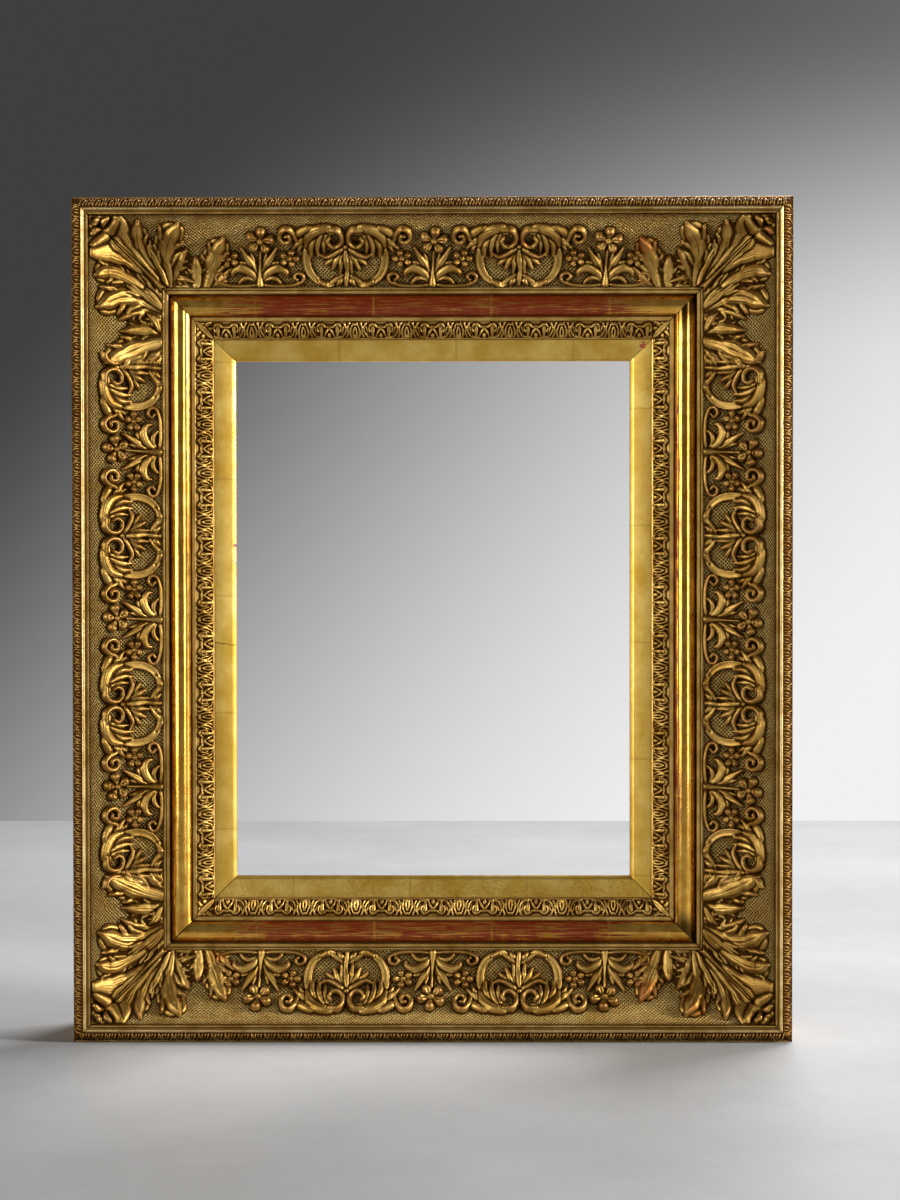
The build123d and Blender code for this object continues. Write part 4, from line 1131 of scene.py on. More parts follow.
def painted_shade_and_wear(side):
    """Painted shade and toning of the cove's ground beside its ornament, and wear and painted shade of the torus."""
    # The map has cells of 1 mm along the rail and of the grid's step across the cove
    run = np.arange(-half_run[side] - moulding_width, half_run[side] + moulding_width, 1.0)
    cover = np.zeros((len(run), len(arcs)))
    steps = (-0.5, 0.5) if side in level_sides else (-1.5, -0.5, 0.5, 1.5)
    shown = free_run[side] + tuck
    for (field_run, _, height), places in ((cartouche_field, steps), (spray_field, (-1, 0, 1))):
        cells = np.maximum(height, 0)[::round(1 / grid_step)]
        for step in places:
            first = int(round(step * pitch[side] + field_run[0, 0] - run[0]))
            low = max(first, 0, int(-shown - run[0]))
            high = min(first + len(cells), len(run), int(shown - run[0]))
            cover[low:high] = np.maximum(cover[low:high], cells[low - first:high - first])
    # Painted shade, together with toning, beside the ornament that stands on the ground
    shade = np.maximum(blurred(np.clip(cover, 0, 2.0), 2) * 0.26 - 0.04, 0)
    # Painted shade in the corners at the foot and at the top of the cove
    edge_shade = 0.5 * np.exp(-arcs / 2.0) + 0.35 * np.exp(-(arcs[-1] - arcs) / 2.5)

    def shade_and_wear(runs, points):
        """What painted shade and kept gold take off the relief at the runs along each point of the section."""
        out, level = points.T
        result = np.zeros(runs.shape)
        in_cove = (out > cove_start + 0.01) & (out < cove_end - 0.01) & (level < rim_level - 0.5)
        column = ((across_cove(np.clip(out, cove_start, cove_end)) - arcs[0]) / grid_step).astype(int)
        column = np.clip(column, 0, len(arcs) - 1)
        row = np.clip((runs - run[0]).astype(int), 0, len(run) - 1)
        result[:, in_cove] = -(shade[row, column[None, :]] + edge_shade[column])[:, in_cove]
        # The gold of the torus is kept better towards its ends, and near the mitres it gets a painted dark reflection
        on_torus = (out > torus_start) & (out < torus_end) & (level > quirk_level)
        kept_gold = np.clip((np.abs(runs) / (half_run[side] + 35) - 0.62) / 0.25, 0, 1) * 0.32
        from_mitre = half_run[side] + out - np.abs(runs)
        painted_mitre_shade = mitre_painted_shade[side] * np.exp(-(from_mitre / mitre_shade_reach) ** 2)
        result[:, on_torus] = -(kept_gold + painted_mitre_shade)[:, on_torus]
        return result

    return shade_and_wear


# %% Make the four mouldings
# A band is its points as outward distance and level, its finish, and its wear at each point; negative values are
# painted shade in the quirks, grooves and hollow corners. The first finish is the wood that shows on the mitred ends
moulding_finishes = [level_pine, fillet_gilt, burnished_gold, ground_gilt, ochre_paint, rim_gilt]
_, fillet, burnished, ground, painted, rim = range(6)
fillet_band = [
    (leaf_edge, leaf_top_level), (leaf_edge, inner_fillet_level - 0.3), (leaf_edge + 0.3, inner_fillet_level),
    (leaf_edge + inner_fillet - 0.4, inner_fillet_level), (leaf_edge + inner_fillet, inner_fillet_level - 0.4),
    (leaf_edge + inner_fillet, quirk_level), (torus_start, quirk_level),
]
torus_fillet_band = [
    (torus_end, quirk_level), (torus_end + quirk, quirk_level), (torus_end + quirk, torus_fillet_level - 0.3),
    (torus_end + quirk + 0.3, torus_fillet_level), (torus_fillet_edge - 0.2, torus_fillet_level),
    (torus_fillet_edge, torus_fillet_level - 0.2), (torus_fillet_edge, groove_level),
    (cove_fillet_start, groove_level), (cove_fillet_start, torus_fillet_level - 0.2),
    (cove_fillet_start + 0.2, torus_fillet_level), (cove_start - 0.25, torus_fillet_level),
    (cove_start, torus_fillet_level - 0.25), (cove_start, cove_level),
]
rim_bead_start = (cove_end + 2.6, rim_level - 0.55)
strip_start, rim_foot = (rim_edge, rim_level - 0.9), (rim_edge, rim_level - 2)
rim_band = [
    (cove_end, cove_top_level), (cove_end, rim_level - 0.8), (cove_end + 0.25, rim_level - 0.4),
    (cove_end + 0.75, rim_level - 0.35), (cove_end + 1.1, rim_level - 0.75), (cove_end + 1.7, rim_level - 0.95),
    (cove_end + 2.3, rim_level - 0.8), rim_bead_start,
]
for side in sides:
    torus_wear = torus_rub[side] + (torus_edge[side] - torus_rub[side]) * across_torus**2
    made = swept_stick(f"gilt_moulding_{side}", side, [
        ([(slip_edge, rail_thickness), (slip_edge, leaf_foot_level), (leaf_edge, leaf_top_level)], painted, 0.0),
        (fillet_band, fillet, (0.0, 0.1, 0.3, 0.3, 0.0, -0.8, -1.0)),
        (torus_points, burnished, torus_wear + torus_lean[side] * across_torus),
        (torus_fillet_band, fillet, (-1.0, -0.6, 0.1, 0.4, 0.4, 0.0, -1.0, -1.0, 0.0, 0.4, 0.4, -0.1, -0.8)),
        (cove_points, ground, 0.0),
        (rim_band, fillet, (-0.7, 0.1, 0.5, 0.4, -0.5, -0.7, -0.5, -0.6)),
        (arc_points(rim_bead_start, strip_start, 0.7, 7), rim, (-0.5, 0.1, 0.2, 0.3, 0.4, 0.2, -0.6)),
        ([strip_start, rim_foot], fillet, -0.7),
        ([rim_foot, (side_edge, shoulder_level), (side_edge, rail_thickness), (slip_edge, rail_thickness)],
         painted, 0.0),
    ], moulding_finishes, 1.5, painted_shade_and_wear(side))
    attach(made, "frame")
    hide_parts(f"moulding_{side}")
print("faces of a moulding", len(made.data.polygons))

# %% [markdown]
# The slip is the flat inner frame that carries the bevelled lip. Its front is gilded, and its back and outer edge,
# which lean on the rail and the moulding, are bare wood.

# %% Make the four slips
slip_front = [
    (0, rail_thickness), (0, lip_level), (0.25, lip_level + 0.35), (sight_bevel - 0.2, bevel_level - 0.1),
    (sight_bevel + 0.3, bevel_level + 0.08), (slip_edge - 0.3, slip_level), (slip_edge, slip_level - 0.3),
]
for side in sides:
    bare = level_pine if side in level_sides else upright_pine
    made = swept_stick(f"gilt_sight_slip_{side}", side, [
        (slip_front, 0, 0.0), ([slip_front[-1], (slip_edge, rail_thickness), (0, rail_thickness)], 1, 0.0),
    ], [slip_gold, bare])
    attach(made, "frame")
    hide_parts(f"sight_slip_{side}")
print("faces of a slip", len(made.data.polygons))

# %% [markdown]
# ## The inner leaf strip
# Next to the slip runs a pressed strip of 11 mm. Two motifs take turns on it: an arcade, a thin strap that dips
# between two round lobes with a small leaf below, and a leaf whose curved blades open outward. An odd number of them
# fits each side, so that the same motif stands at both ends, and a small crossed leaf covers each mitre.

# %% Draw the two motifs and the corner
strip_width, strip_rise = leaf_edge - slip_edge, leaf_top_level - leaf_foot_level
strip_slope = hypot(strip_width, strip_rise)
slope_out, slope_level = strip_width / strip_slope, strip_rise / strip_slope
level_motifs, upright_motifs = 17, 23
motif_run = 2 * (half_run["top"] + slip_edge) / level_motifs
# A motif is a tile of the slope, drawn on a grid of 0.42 mm, and its wear and painted shade are read over about
# twice that
strip_step, strip_wear_and_shade_step = 0.42, 0.9


def half_arcade(relief):
    """The right half of an arcade."""
    lay = relief.stroke
    lay([(0, 9.6), (2.6, 9.5), (3.6, 10.6), (5.6, 11.6), (7.4, 10.4), (7.9, 8.4), (7.4, 6.6)],
        [0.5, 0.5, 0.5, 0.55, 0.55, 0.6, 0.8], [1.9, 1.9, 2.0, 2.2, 2.1, 2.1, 2.0])
    lay([(5.5, 9.2), (5.3, 6.2), (5.2, 3.0)], [1.4, 1.3, 0.8], [1.2, 1.9, 1.6], "leaf", 1)
    lay([(0.4, 8.0), (2.0, 5.8), (3.2, 3.2)], [0.7, 0.9, 0.5], [1.5, 1.9, 1.3])
    lay([(0, 4.8), (0.05, 3.4), (0, 1.9)], [0.5, 1.3, 0.6], [1.2, 1.8, 1.2], "leaf", 1)
    lay([(3.6, 1.9), (5.6, 1.7), (7.8, 2.4)], [0.5, 0.8, 0.5], [1.0, 1.3, 1.1])


def half_blades(relief):
    """The right half of the leaf with blades."""
    lay = relief.stroke
    lay([(0.5, 11.4), (0.9, 11.5)], [0.8, 0.8], [2.0, 2.0])
    lay([(0.2, 9.2), (1.1, 6.0), (0.7, 2.6)], [0.5, 0.8, 1.1], [1.5, 2.0, 2.2], "leaf", 1)
    lay([(1.9, 10.6), (3.0, 7.4), (3.0, 4.4), (2.4, 2.2)], [0.5, 0.8, 0.9, 0.7], [1.6, 2.1, 2.1, 1.4], "leaf", 1)
    lay([(3.8, 11.8), (4.8, 8.8), (4.6, 5.4), (5.6, 2.6)], [0.5, 0.7, 0.8, 0.6], [1.7, 2.1, 2.0, 1.3])
    lay([(7.0, 11.6), (5.9, 9.0), (6.4, 5.6), (8.2, 2.6)], [0.6, 0.8, 0.8, 0.5], [1.7, 2.1, 1.9, 1.2])
    lay([(7.4, 9.2), (8.0, 7.2), (8.3, 5.2)], [0.6, 0.7, 0.5], [1.5, 1.7, 1.2])


def strip_unit(name, draw):
    """One motif of the inner strip as a closed tile."""
    run, arc = np.meshgrid(np.linspace(-motif_run / 2, motif_run / 2, int(motif_run / strip_step) + 1),
                           np.linspace(0.9, strip_slope - 0.15, int(strip_slope / strip_step)), indexing="ij")
    relief = Relief(run, arc, float)
    relief.height[:] = 0.0
    relief.mirrored(draw)
    height = relief.height * 1.25
    # Towards the slip the relief sinks, so that the foot of the strip stays a straight line
    lift = 0.3 + height * np.clip(0.35 + arc / 4, 0, 1)
    front, back = (unit_place(run, slip_edge + arc * slope_out - rise * slope_level,
                              leaf_foot_level + arc * slope_level + rise * slope_out)
                   for rise in (lift, np.zeros_like(lift)))
    uv = np.stack([run, arc], -1) * MM
    shell = closed_grid(front, back, uv, wear_and_shade_of(height, strip_wear_and_shade_step), cells_with(run > -np.inf))
    return finish_mesh(name, *shell, [inner_strip_gilt])


arcade_unit = strip_unit("arcade_unit", half_arcade)
blades_unit = strip_unit("blades_unit", half_blades)


def strip_corner():
    """The crossed leaf over the mitre of the inner strip, at the end of a run."""
    side_length = np.linspace(slip_edge + 0.5, leaf_edge - 0.15, 28)
    along_rail, across = np.meshgrid(side_length, side_length, indexing="ij")
    relief = Relief(along_rail - slip_edge, across - slip_edge, float)
    relief.height[:] = 0.0
    side_leaves = ([(6.0, 9.6), (8.2, 9.0), (10.2, 10.4)], [(2.0, 10.2), (4.4, 8.4), (5.2, 5.6)],
                   [(0.9, 6.6), (2.8, 6.2), (4.4, 4.6)])
    for way in (1, -1):
        for line in side_leaves:
            relief.over(relief.stroke, [place[::way] for place in line], [0.7, 1.3, 0.6], [1.6, 2.2, 1.6], "leaf", 1)
    relief.over(relief.stroke, [(10.2, 10.2), (6.6, 6.6), (3.4, 3.4), (0.8, 0.8)], [0.8, 1.9, 1.7, 0.5],
                [1.8, 2.8, 2.4, 1.2], "leaf", 2)
    slope = leaf_foot_level + (np.maximum(along_rail, across) - slip_edge) * slope_level / slope_out
    front, back = (unit_place(along_rail, across, slope + lift) for lift in (0.35 + relief.height * 0.8, 0.0))
    uv = np.stack([along_rail, across], -1) * MM
    shell = closed_grid(front, back, uv, wear_and_shade_of(relief.height, strip_wear_and_shade_step), cells_with(across > -np.inf))
    return finish_mesh("strip_corner_unit", *shell, [inner_strip_gilt])


strip_corner_unit = strip_corner()
print("motif of the inner strip", round(motif_run, 2), "mm,", len(arcade_unit.data.polygons), "faces")

# %% Set the inner strips
# The base under the motifs is darkened with painted shade, which shows between them, and the small bead at its foot is
# worn
strip_section = [(
    [(slip_edge, leaf_foot_level), (slip_edge, leaf_foot_level + 0.9), (slip_edge + 0.8, leaf_foot_level + 1.3),
     (slip_edge + 1.3, leaf_foot_level + 1.0), (leaf_edge, leaf_top_level + 0.3), (leaf_edge, leaf_top_level),
     (slip_edge, leaf_foot_level)], 0, (-0.4, 0.1, 0.6, -0.8, -0.9, -0.9),
)]
for side in sides:
    motifs = level_motifs if side in level_sides else upright_motifs
    own_run = 2 * (half_run[side] + slip_edge) / motifs
    stretch = own_run / motif_run
    base = swept_stick(f"strip_base_{side}", side, strip_section, [inner_strip_gilt])
    made = set_units(f"gilt_inner_leaf_strip_{side}", side, [
        (arcade_unit, (motifs + 1) // 2, -(motifs - 1) / 2 * own_run, 2 * own_run, stretch, inner_strip_gilt),
        (blades_unit, (motifs - 1) // 2, -(motifs - 3) / 2 * own_run, 2 * own_run, stretch, inner_strip_gilt),
        (strip_corner_unit, 1, half_run[side], 0.0, 1.0, inner_strip_gilt),
    ], base)
    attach(made, "frame")
    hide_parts(f"inner_leaf_strip_{side}")
print("triangles of an inner strip", sum(len(face.vertices) - 2 for face in made.data.polygons))

# %% [markdown]
# ## The outer leaf strip
# The rim rounds over in a strip of 7 mm with a tiny leaf in an arch, 230 of them in all, so each has only a few dozen
# faces: ridges of three edges, laid over the rounded base.

# %% Draw the tiny arch
arch_run, strip_across, strip_bulge = 8.55, 7.6, 1.2
strip_end = (moulding_width - 0.9, shoulder_level - 0.2)
strip_line = np.array(arc_points(strip_start, strip_end, strip_bulge, 9))
strip_shares = np.linspace(0, 1, len(strip_line))
# A ridge is lifted square to the middle of the rounded strip. Its foot is sunk a little and darkened with painted shade
ridge_out, ridge_level, ridge_foot = 0.5, 0.86, -0.25
ridge_wear, foot_shade = 0.45, -0.6


def ridges(name, lines, material):
    """A low mesh of ridges. lines are (points as run and share across, half width, height)."""
    corners, faces = [], []
    for points, half, height in lines:
        flat = np.array([(run, share * strip_across) for run, share in points])
        lead = np.gradient(flat, axis=0)
        square = np.stack([-lead[:, 1], lead[:, 0]], 1) / np.hypot(lead[:, 0], lead[:, 1])[:, None]
        start = len(corners)
        tops = np.interp(np.linspace(0, 1, len(flat)), (0, 0.3, 0.8, 1), (0.5, 1, 1, 0.6)) * height
        for (run, across), (side_run, side_across), top in zip(flat, square, tops):
            for move, lift in ((-half, ridge_foot), (0.0, top), (half, ridge_foot)):
                share = (across + side_across * move) / strip_across
                out, level = (np.interp(share, strip_shares, strip_line[:, axis]) for axis in (0, 1))
                out, level = out + lift * ridge_out, level + lift * ridge_level
                corners.append(unit_place(run + side_run * move, out, level))
        for place in range(start, len(corners) - 3, 3):
            faces += [(place, place + 3, place + 4, place + 1), (place + 1, place + 4, place + 5, place + 2),
                      (place + 2, place + 5, place + 3, place)]
        faces += [(start, start + 1, start + 2), (len(corners) - 1, len(corners) - 2, len(corners) - 3)]
    mesh = bpy.data.meshes.new(name)
    mesh.from_pydata([tuple(corner) for corner in corners], [], faces)
    mesh.materials.append(material)
    mesh.uv_layers.new(name="rail")
    mesh.attributes.new("relief", "FLOAT", "POINT")
    crest = [ridge_wear if number % 3 == 1 else foot_shade for number in range(len(corners))]
    mesh.attributes["relief"].data.foreach_set("value", crest)
    mesh.shade_smooth()
    return into_scene(name, mesh)


arch_unit = ridges("arch_unit", [
    ([(-3.5, 0.06), (-3.1, 0.5), (-1.6, 0.86), (0.2, 0.9)], 0.8, 0.85),
    ([(0.9, 0.88), (2.4, 0.8), (3.2, 0.45), (2.6, 0.1)], 0.8, 0.85),
    ([(-1.2, 0.1), (-0.6, 0.4), (0.5, 0.66)], 0.9, 0.8),
    ([(0.7, 0.1), (1.3, 0.3), (1.4, 0.56)], 0.7, 0.7),
    ([(4.5, 0.9), (3.95, 0.55), (4.5, 0.2)], 0.75, 0.75),
], strip_gilt)
print("faces of one arch", len(arch_unit.data.polygons))

# %% Set the outer strips
# The arches end 5.4 mm short of the outer corner
arch_reach = 96
edge_line = arc_points(strip_start, strip_end, strip_bulge, 7)
# Under the arches the base is darkened with painted shade, which shows between them, and the outer edge of the shoulder
# is worn
edge_section = [
    ([rim_foot, strip_start], 0, -0.5), (edge_line, 0, -0.5),
    ([edge_line[-1], (moulding_width - 0.2, shoulder_level), (moulding_width, shoulder_level - 0.4),
      (moulding_width, shoulder_level - strip_drop), (side_edge, shoulder_level - strip_drop),
      (side_edge, shoulder_level), rim_foot], 0, (-0.4, 0.6, 0.5, 0.1, -0.5, -0.5)),
]
for side in sides:
    arches = round(2 * (half_run[side] + arch_reach) / arch_run)
    own_run = 2 * (half_run[side] + arch_reach) / arches
    base = swept_stick(f"strip_base_{side}", side, edge_section, [strip_gilt])
    made = set_units(f"gilt_outer_leaf_strip_{side}", side, [
        (arch_unit, arches, -(arches - 1) / 2 * own_run, own_run, own_run / arch_run, strip_gilt)], base)
    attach(made, "frame")
    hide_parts(f"outer_leaf_strip_{side}")
for used_unit in (cartouche_unit, spray_unit, arcade_unit, blades_unit, strip_corner_unit, arch_unit):
    bpy.data.objects.remove(used_unit)
print("faces of an outer strip", len(made.data.polygons))

# %% [markdown]
# ## Brass plates and keys with soft edges
# No real edge is perfectly sharp. The turn-buttons and the strap were stamped from brass sheet and filed, so their
# solids are copied, their loose triangles merged, and a narrow bevel rounds the edges. A bevel modifier does it best,
# because it follows any outline.

# %% Round the plates


def in_one_finish(mesh, material, sharp=None):
    """Gives a mesh its only material and smooth shading."""
    mesh.materials.clear()
    mesh.materials.append(material)
    mesh.shade_smooth()
    if sharp is not None:
        mesh.set_sharp_from_angle(angle=sharp)


def with_soft_edges(name, node, body, width, material):
    """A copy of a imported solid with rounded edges, standing for it."""
    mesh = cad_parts[node].data.copy()
    mesh.name = name
    merged = bmesh.new()
    merged.from_mesh(mesh)
    bmesh.ops.remove_doubles(merged, verts=merged.verts, dist=1e-6)
    bmesh.ops.dissolve_limit(merged, angle_limit=radians(1), verts=merged.verts, edges=merged.edges)
    merged.to_mesh(mesh)
    merged.free()
    carrier = into_scene(name, mesh)
    bevel = carrier.modifiers.new("soft edges", "BEVEL")
    bevel.width, bevel.segments = width * MM, 3
    bevel.limit_method, bevel.angle_limit = "ANGLE", radians(40)
    rounded = as_mesh(carrier, name)
    carrier.modifiers.clear()
    carrier.data = rounded
    in_one_finish(rounded, material, sharp_angle)
    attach(carrier, body)
    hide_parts(node)
    return carrier


for side in sides:
    plate = with_soft_edges(f"brass_turn_button_{side}", f"turn_button_{side}", f"turn_button_{side}", 0.3,
                            old_brass)
strap = with_soft_edges("brass_hanger_strap", "hanger_plate", "frame", 0.22, old_brass)
with_soft_edges("pine_butterfly_keys", "corner_keys", "frame", 0.15, key_pine)
print("faces of a turn-button", len(plate.data.polygons), "and of the strap", len(strap.data.polygons))

# %% [markdown]
# ## The ring
# The hanger's ring is bent from round brass wire into a D, whose straight bar turns in the knuckle. A curve with a
# round bevel is the natural way to make wire.

# %% Bend the ring
knuckle_out, knuckle_radius, ring_wire, ring_half, ring_leg, ring_corner = 62, 2.3, 1.1, 9.4, 8, 2.2
bar_place = on_rail("top", 0.0, knuckle_out, -knuckle_radius)
bend = [(ring_half - ring_corner * (1 - sin(turn)), -ring_corner * (1 - cos(turn)))
        for turn in np.radians((30, 60, 90))]
bow = [(-(ring_half - ring_corner), 0.0), (ring_half - ring_corner, 0.0), *bend]
bow += [(ring_half * cos(turn), -ring_leg - ring_half * sin(turn)) for turn in np.radians(np.arange(0, 181, 9))]
bow += [(-across, rise) for across, rise in reversed(bend)]
wire = bpy.data.curves.new("brass_ring", "CURVE")
wire.dimensions = "3D"
wire.bevel_depth, wire.bevel_resolution = ring_wire * MM, 5
spline = wire.splines.new("POLY")
spline.points.add(len(bow) - 1)
for point, (across, rise) in zip(spline.points, bow):
    point.co = (bar_place[0] + across * MM, bar_place[1], bar_place[2] + rise * MM, 1.0)
spline.use_cyclic_u = True
bent = into_scene("bent_wire", wire)
ring = into_scene("brass_hanger_ring", as_mesh(bent, "brass_ring"))
bpy.data.objects.remove(bent)
in_one_finish(ring.data, old_brass)
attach(ring, "hanger_ring")
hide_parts("hanger_ring")
print("faces of the ring", len(ring.data.polygons))

# %% [markdown]
# ## The screws
# Five slotted iron screws, each turned by hand, so no two slots point the same way. One screw is made, its slot cut
# with a Boolean, and a small tree sets it on every place with a seeded turn.

# %% Make one screw
screw_radius, screw_length, screw_point = 1.6, 13, 3
head_radius, head_height, head_edge = 3.3, 1.6, 0.35
slot_length, slot_width, slot_height, slot_middle = 8, 0.9, 1.4, 1.54


def turned_and_slotted():
    """One screw along the axis y, with its head's seat at zero."""
    dome = [(head_radius * sin(turn), head_edge + (head_height - head_edge) * cos(turn))
            for turn in np.radians(np.arange(15, 91, 15))]
    outline = [(0.0, head_height), *dome, (head_radius, 0.1), (head_radius - 0.15, 0.0), (screw_radius, 0.0),
               (screw_radius, screw_point - screw_length), (0.0, -screw_length)]
    turned = bmesh.new()
    path = [turned.verts.new((radius * MM, height * MM, 0)) for radius, height in outline]
    edges = [turned.edges.new(pair) for pair in zip(path[:-1], path[1:])]
    bmesh.ops.spin(turned, geom=path + edges, cent=(0, 0, 0), axis=(0, 1, 0), angle=2 * pi, steps=32)
    bmesh.ops.remove_doubles(turned, verts=turned.verts, dist=1e-6)
    bmesh.ops.recalc_face_normals(turned, faces=turned.faces)
    blade = bmesh.new()
    bmesh.ops.create_cube(blade, size=1.0)
    for corner in blade.verts:
        x, y, z = corner.co
        corner.co = (x * slot_length * MM, (y * slot_height + slot_middle) * MM, z * slot_width * MM)
    objects = []
    for name, built in (("turned_screw", turned), ("slot_cutter", blade)):
        mesh = bpy.data.meshes.new(name)
        built.to_mesh(mesh)
        built.free()
        objects.append(into_scene(name, mesh))
    screw, cutter = objects
    cut = screw.modifiers.new("slot", "BOOLEAN")
    cut.operation, cut.solver, cut.object = "DIFFERENCE", "EXACT", cutter
    bevel = screw.modifiers.new("worn edge", "BEVEL")
    bevel.width, bevel.segments, bevel.limit_method, bevel.angle_limit = 0.1 * MM, 2, "ANGLE", radians(50)
    finished = as_mesh(screw, "turned_screw")
    screw.modifiers.clear()
    screw.data = finished
    in_one_finish(finished, iron, sharp_angle)
    bpy.data.objects.remove(cutter)
    return screw


screw_unit = turned_and_slotted()
print("faces of one screw", len(screw_unit.data.polygons))

# %% Set the screws
screwing, given = start_group("set_screws", {
    "Places": "Geometry", "Screw": "Object", "Seed": "Int", "Finish": "Material",
})
turn = add(screwing, "FunctionNodeRandomValue", {0: (0, 0, 0), 1: (0, pi, 0), "Seed": given["Seed"]},
           data_type="FLOAT_VECTOR")
driven = add(screwing, "GeometryNodeInstanceOnPoints", {
    "Points": given["Places"], "Rotation": turn,
    "Instance": add(screwing, "GeometryNodeObjectInfo", {"Object": given["Screw"]}, "Geometry"),
})
real = add(screwing, "GeometryNodeRealizeInstances", {"Geometry": driven})
dressed = add(screwing, "GeometryNodeSetMaterial", {"Geometry": real, "Material": given["Finish"]})
add(screwing, "NodeGroupOutput", {"Result": dressed})

button_out, button_seat, strap_seat, strap_hole_drop = 16, 1.8, 1.2, 8.4
seats = [on_rail(side, 0.0, button_out, -button_seat) for side in sides]
seats.append(on_rail("top", 0.0, knuckle_out - strap_hole_drop, -strap_seat))
places = bpy.data.meshes.new("screw_places")
places.from_pydata([tuple(seat) for seat in seats], [], [])
screws = into_scene("iron_screws", places)
give_group(screws, screwing, {"Screw": screw_unit, "Seed": 5, "Finish": iron})
screws_mesh = as_mesh(screws, "iron_screws")
screws.modifiers.clear()
screws.data = screws_mesh
bpy.data.objects.remove(screw_unit)
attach(screws, "frame")
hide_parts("screws")
print("faces of the screws", len(screws_mesh.polygons))

# %% [markdown]
# ## The pine rails
# The rails keep their solids, with the rebate, the pockets of the keys and the pilot holes, and get the grain that
# runs along each of them.

# %% Dress the rails
for side in sides:
    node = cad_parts[f"rail_{side}"]
    node.data.materials.clear()
    node.data.materials.append(level_pine if side in level_sides else upright_pine)

# %% [markdown]
# ## Studio
# The photograph was taken from straight in front, a little above the middle, with a lens of about 63 mm. The frame
# stands on a table of pale plaster. Its back edge is the line that the picture shows behind the frame, and the
# backdrop hangs far enough behind it that the frame can be looked at from the back as well. The backdrop goes from
# dark grey at the top left to nearly white at the lower right as light falls off across it. That fall of light is
# painted into it as a glow, which the camera and the gold see as it is.

# %% Floor
table_edge, floor_reach = 1.16, 4


def sheet(name, corners, material):
    """A flat sheet of the studio."""
    mesh = bpy.data.meshes.new(name)
    mesh.from_pydata(corners, [], [(0, 1, 2, 3)])
    mesh.materials.append(material)
    made = into_scene(name, mesh)
    return made


# Clouds of a third of a metre and pores of 17 mm make the plaster faintly uneven
cloud_size, pore_size = 1000 / 3, 1000 / 60
plaster, tree, shader = start_material("pale_plaster_floor")
place = add(tree, "TexCoord", output="Object")
cloud = add(tree, "TexNoise", {"Vector": place, "Scale": 1 / (cloud_size * MM), "Detail": 8, "Roughness": 0.65})
fine = add(tree, "TexNoise", {"Vector": place, "Scale": 1 / (pore_size * MM), "Detail": 6, "Roughness": 0.7})
feed(shader, {
    "Base Color": layered(tree, linear("#C8C9CA"), ("#D9DADB", cloud, 0.3, 0.7),
                          ("#8E8F90", fine, 0.52, 0.72, 0.0, 0.1)),
    "Roughness": 0.5,
    "Normal": add(tree, "Bump", {"Strength": 0.2, "Distance": 2 * MM, "Height": cloud}),
})
floor = sheet("studio_floor", [(-floor_reach, -floor_reach, 0), (floor_reach, -floor_reach, 0),
                               (floor_reach, table_edge, 0), (-floor_reach, table_edge, 0)], plaster)

# %% Backdrop
eye_height, eye_distance, gradient_distance = 0.3037, 1.3783, 2.578
wall_distance, wall_reach, wall_foot, wall_top = 2.9, 9, -4, 7
backdrop, tree, shader = start_material("graduated_grey_backdrop")
feed(shader, {"Base Color": linear("#7C7D7E"), "Roughness": 0.85})
x, _, z = add(tree, "SeparateXYZ", [add(tree, "TexCoord", output="Object")]).node.outputs
# The gradient was measured on a plane 2.578 m from the eye, so it grows with the wall's distance
further = (wall_distance + eye_distance) / gradient_distance
across = add(tree, "Math", [x, further], operation="DIVIDE")
up = add(tree, "Math", [add(tree, "Math", [z, further], operation="DIVIDE"), eye_height - eye_height / further])
slant = add(tree, "Math", [up, -0.9, across], **multiply_add)
# Painted light: the backdrop darkens towards the top left and towards the top, as light falls off
grey = add(tree, "Math", [
    add(tree, "MapRange", [slant, -1.1, 0.4, 0.0, 0.83], **smooth),
    add(tree, "MapRange", [up, 0.55, 1.0, 1.0, 0.2], **smooth), 0.05,
], **multiply_add)
# The painted light glows for the camera and in reflections, and other light sees the plain grey
glow = add(tree, "Emission", {"Color": grey, "Strength": 1})
ray = add(tree, "LightPath").node.outputs
seen = add(tree, "Math", [ray["Is Camera Ray"], ray["Is Glossy Ray"]], operation="MAXIMUM")
seen = add(tree, "Math", [seen, ray["Is Transmission Ray"]], operation="MAXIMUM")
mixed = add(tree, "MixShader", [seen, shader.outputs["BSDF"], glow])
feed(next(node for node in tree.nodes if node.type == "OUTPUT_MATERIAL"), {"Surface": mixed})
sheet("studio_backdrop", [(-wall_reach, wall_distance, wall_foot), (wall_reach, wall_distance, wall_foot),
                          (wall_reach, wall_distance, wall_top), (-wall_reach, wall_distance, wall_top)], backdrop)

# %% [markdown]
# The lens is known in the photograph's own pixels: 2100 of them, over a height of 1200. The small turns of the camera
# put the frame where the photograph has it.

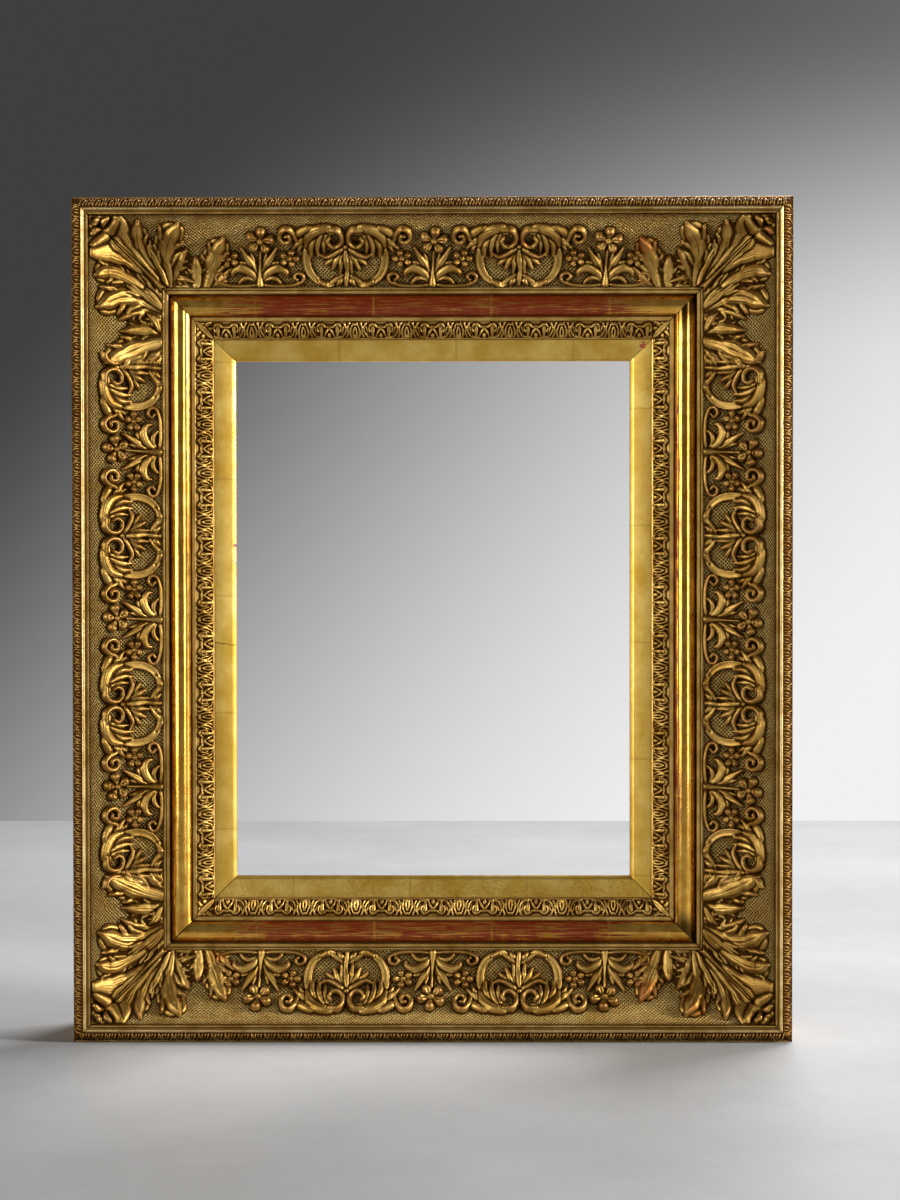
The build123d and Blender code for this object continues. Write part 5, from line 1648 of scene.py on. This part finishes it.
# %% Camera
photo_height, focal_length, sensor_height = 1200, 2100, 36
camera_data = bpy.data.cameras.new("camera")
camera = into_scene("camera", camera_data)
camera_data.sensor_fit = "VERTICAL"
camera_data.sensor_height = sensor_height
camera_data.lens = sensor_height * focal_length / photo_height
camera.location = (0.0201, -eye_distance, eye_height)
camera.rotation_euler = (radians(90 - 0.817), radians(0.052), radians(0.367))
bpy.context.scene.camera = camera
print("lens", camera_data.lens, "mm")

# %% [markdown]
# Two tall windows in front and a reflector at the left model the gold. They would burn out the pale floor, so light
# linking keeps them off it, as barn doors would. A window far to the right side lights the floor evenly, and a
# small one behind throws the soft shadow to the front. The world fills in with a weak grey.

# %% Light
off_the_floor = bpy.data.collections.new("off_the_floor")
off_the_floor.objects.link(floor)
off_the_floor.collection_objects[0].light_linking.link_state = "EXCLUDE"


def softbox(name, place, target, width, height, power, barn_doors=False):
    """A wide, soft window of light turned to a target. Barn doors keep it off the floor."""
    data = bpy.data.lights.new(name, "AREA")
    data.shape = "RECTANGLE"
    data.size, data.size_y = width, height
    data.energy = power
    made = into_scene(name, data)
    made.location = place
    made.rotation_euler = (Vector(target) - Vector(place)).to_track_quat("-Z", "Y").to_euler()
    made.visible_camera = False
    if barn_doors:
        made.light_linking.receiver_collection = off_the_floor


middle = (0, 0, 0.27)
softbox("window_left", (-1.42, -1.45, 0.65), middle, 0.8, 1.5, 29, True)
softbox("window_right", (1.12, -1.6, 0.6), middle, 0.34, 1.3, 12, True)
softbox("window_beside", (3.6, -0.8, 1.15), middle, 0.65, 0.7, 148)
softbox("window_behind", (0.6, 0.8, 1.6), (0.0, 0.0, 0.0), 1.0, 0.6, 27)
softbox("reflector_left", (-2.0, -0.2, 0.5), middle, 0.8, 1.4, 13, True)
world = bpy.data.worlds.new("room")
bpy.context.scene.world = world
world.use_nodes = True
world.node_tree.nodes.clear()
room = add(world.node_tree, "Background", {"Color": linear("#9C9D9F"), "Strength": 0.44})
add(world.node_tree, "OutputWorld", {"Surface": room})
bpy.context.scene.view_settings.view_transform = "Standard"
print("lamps", sorted(lamp.name for lamp in bpy.data.lights))
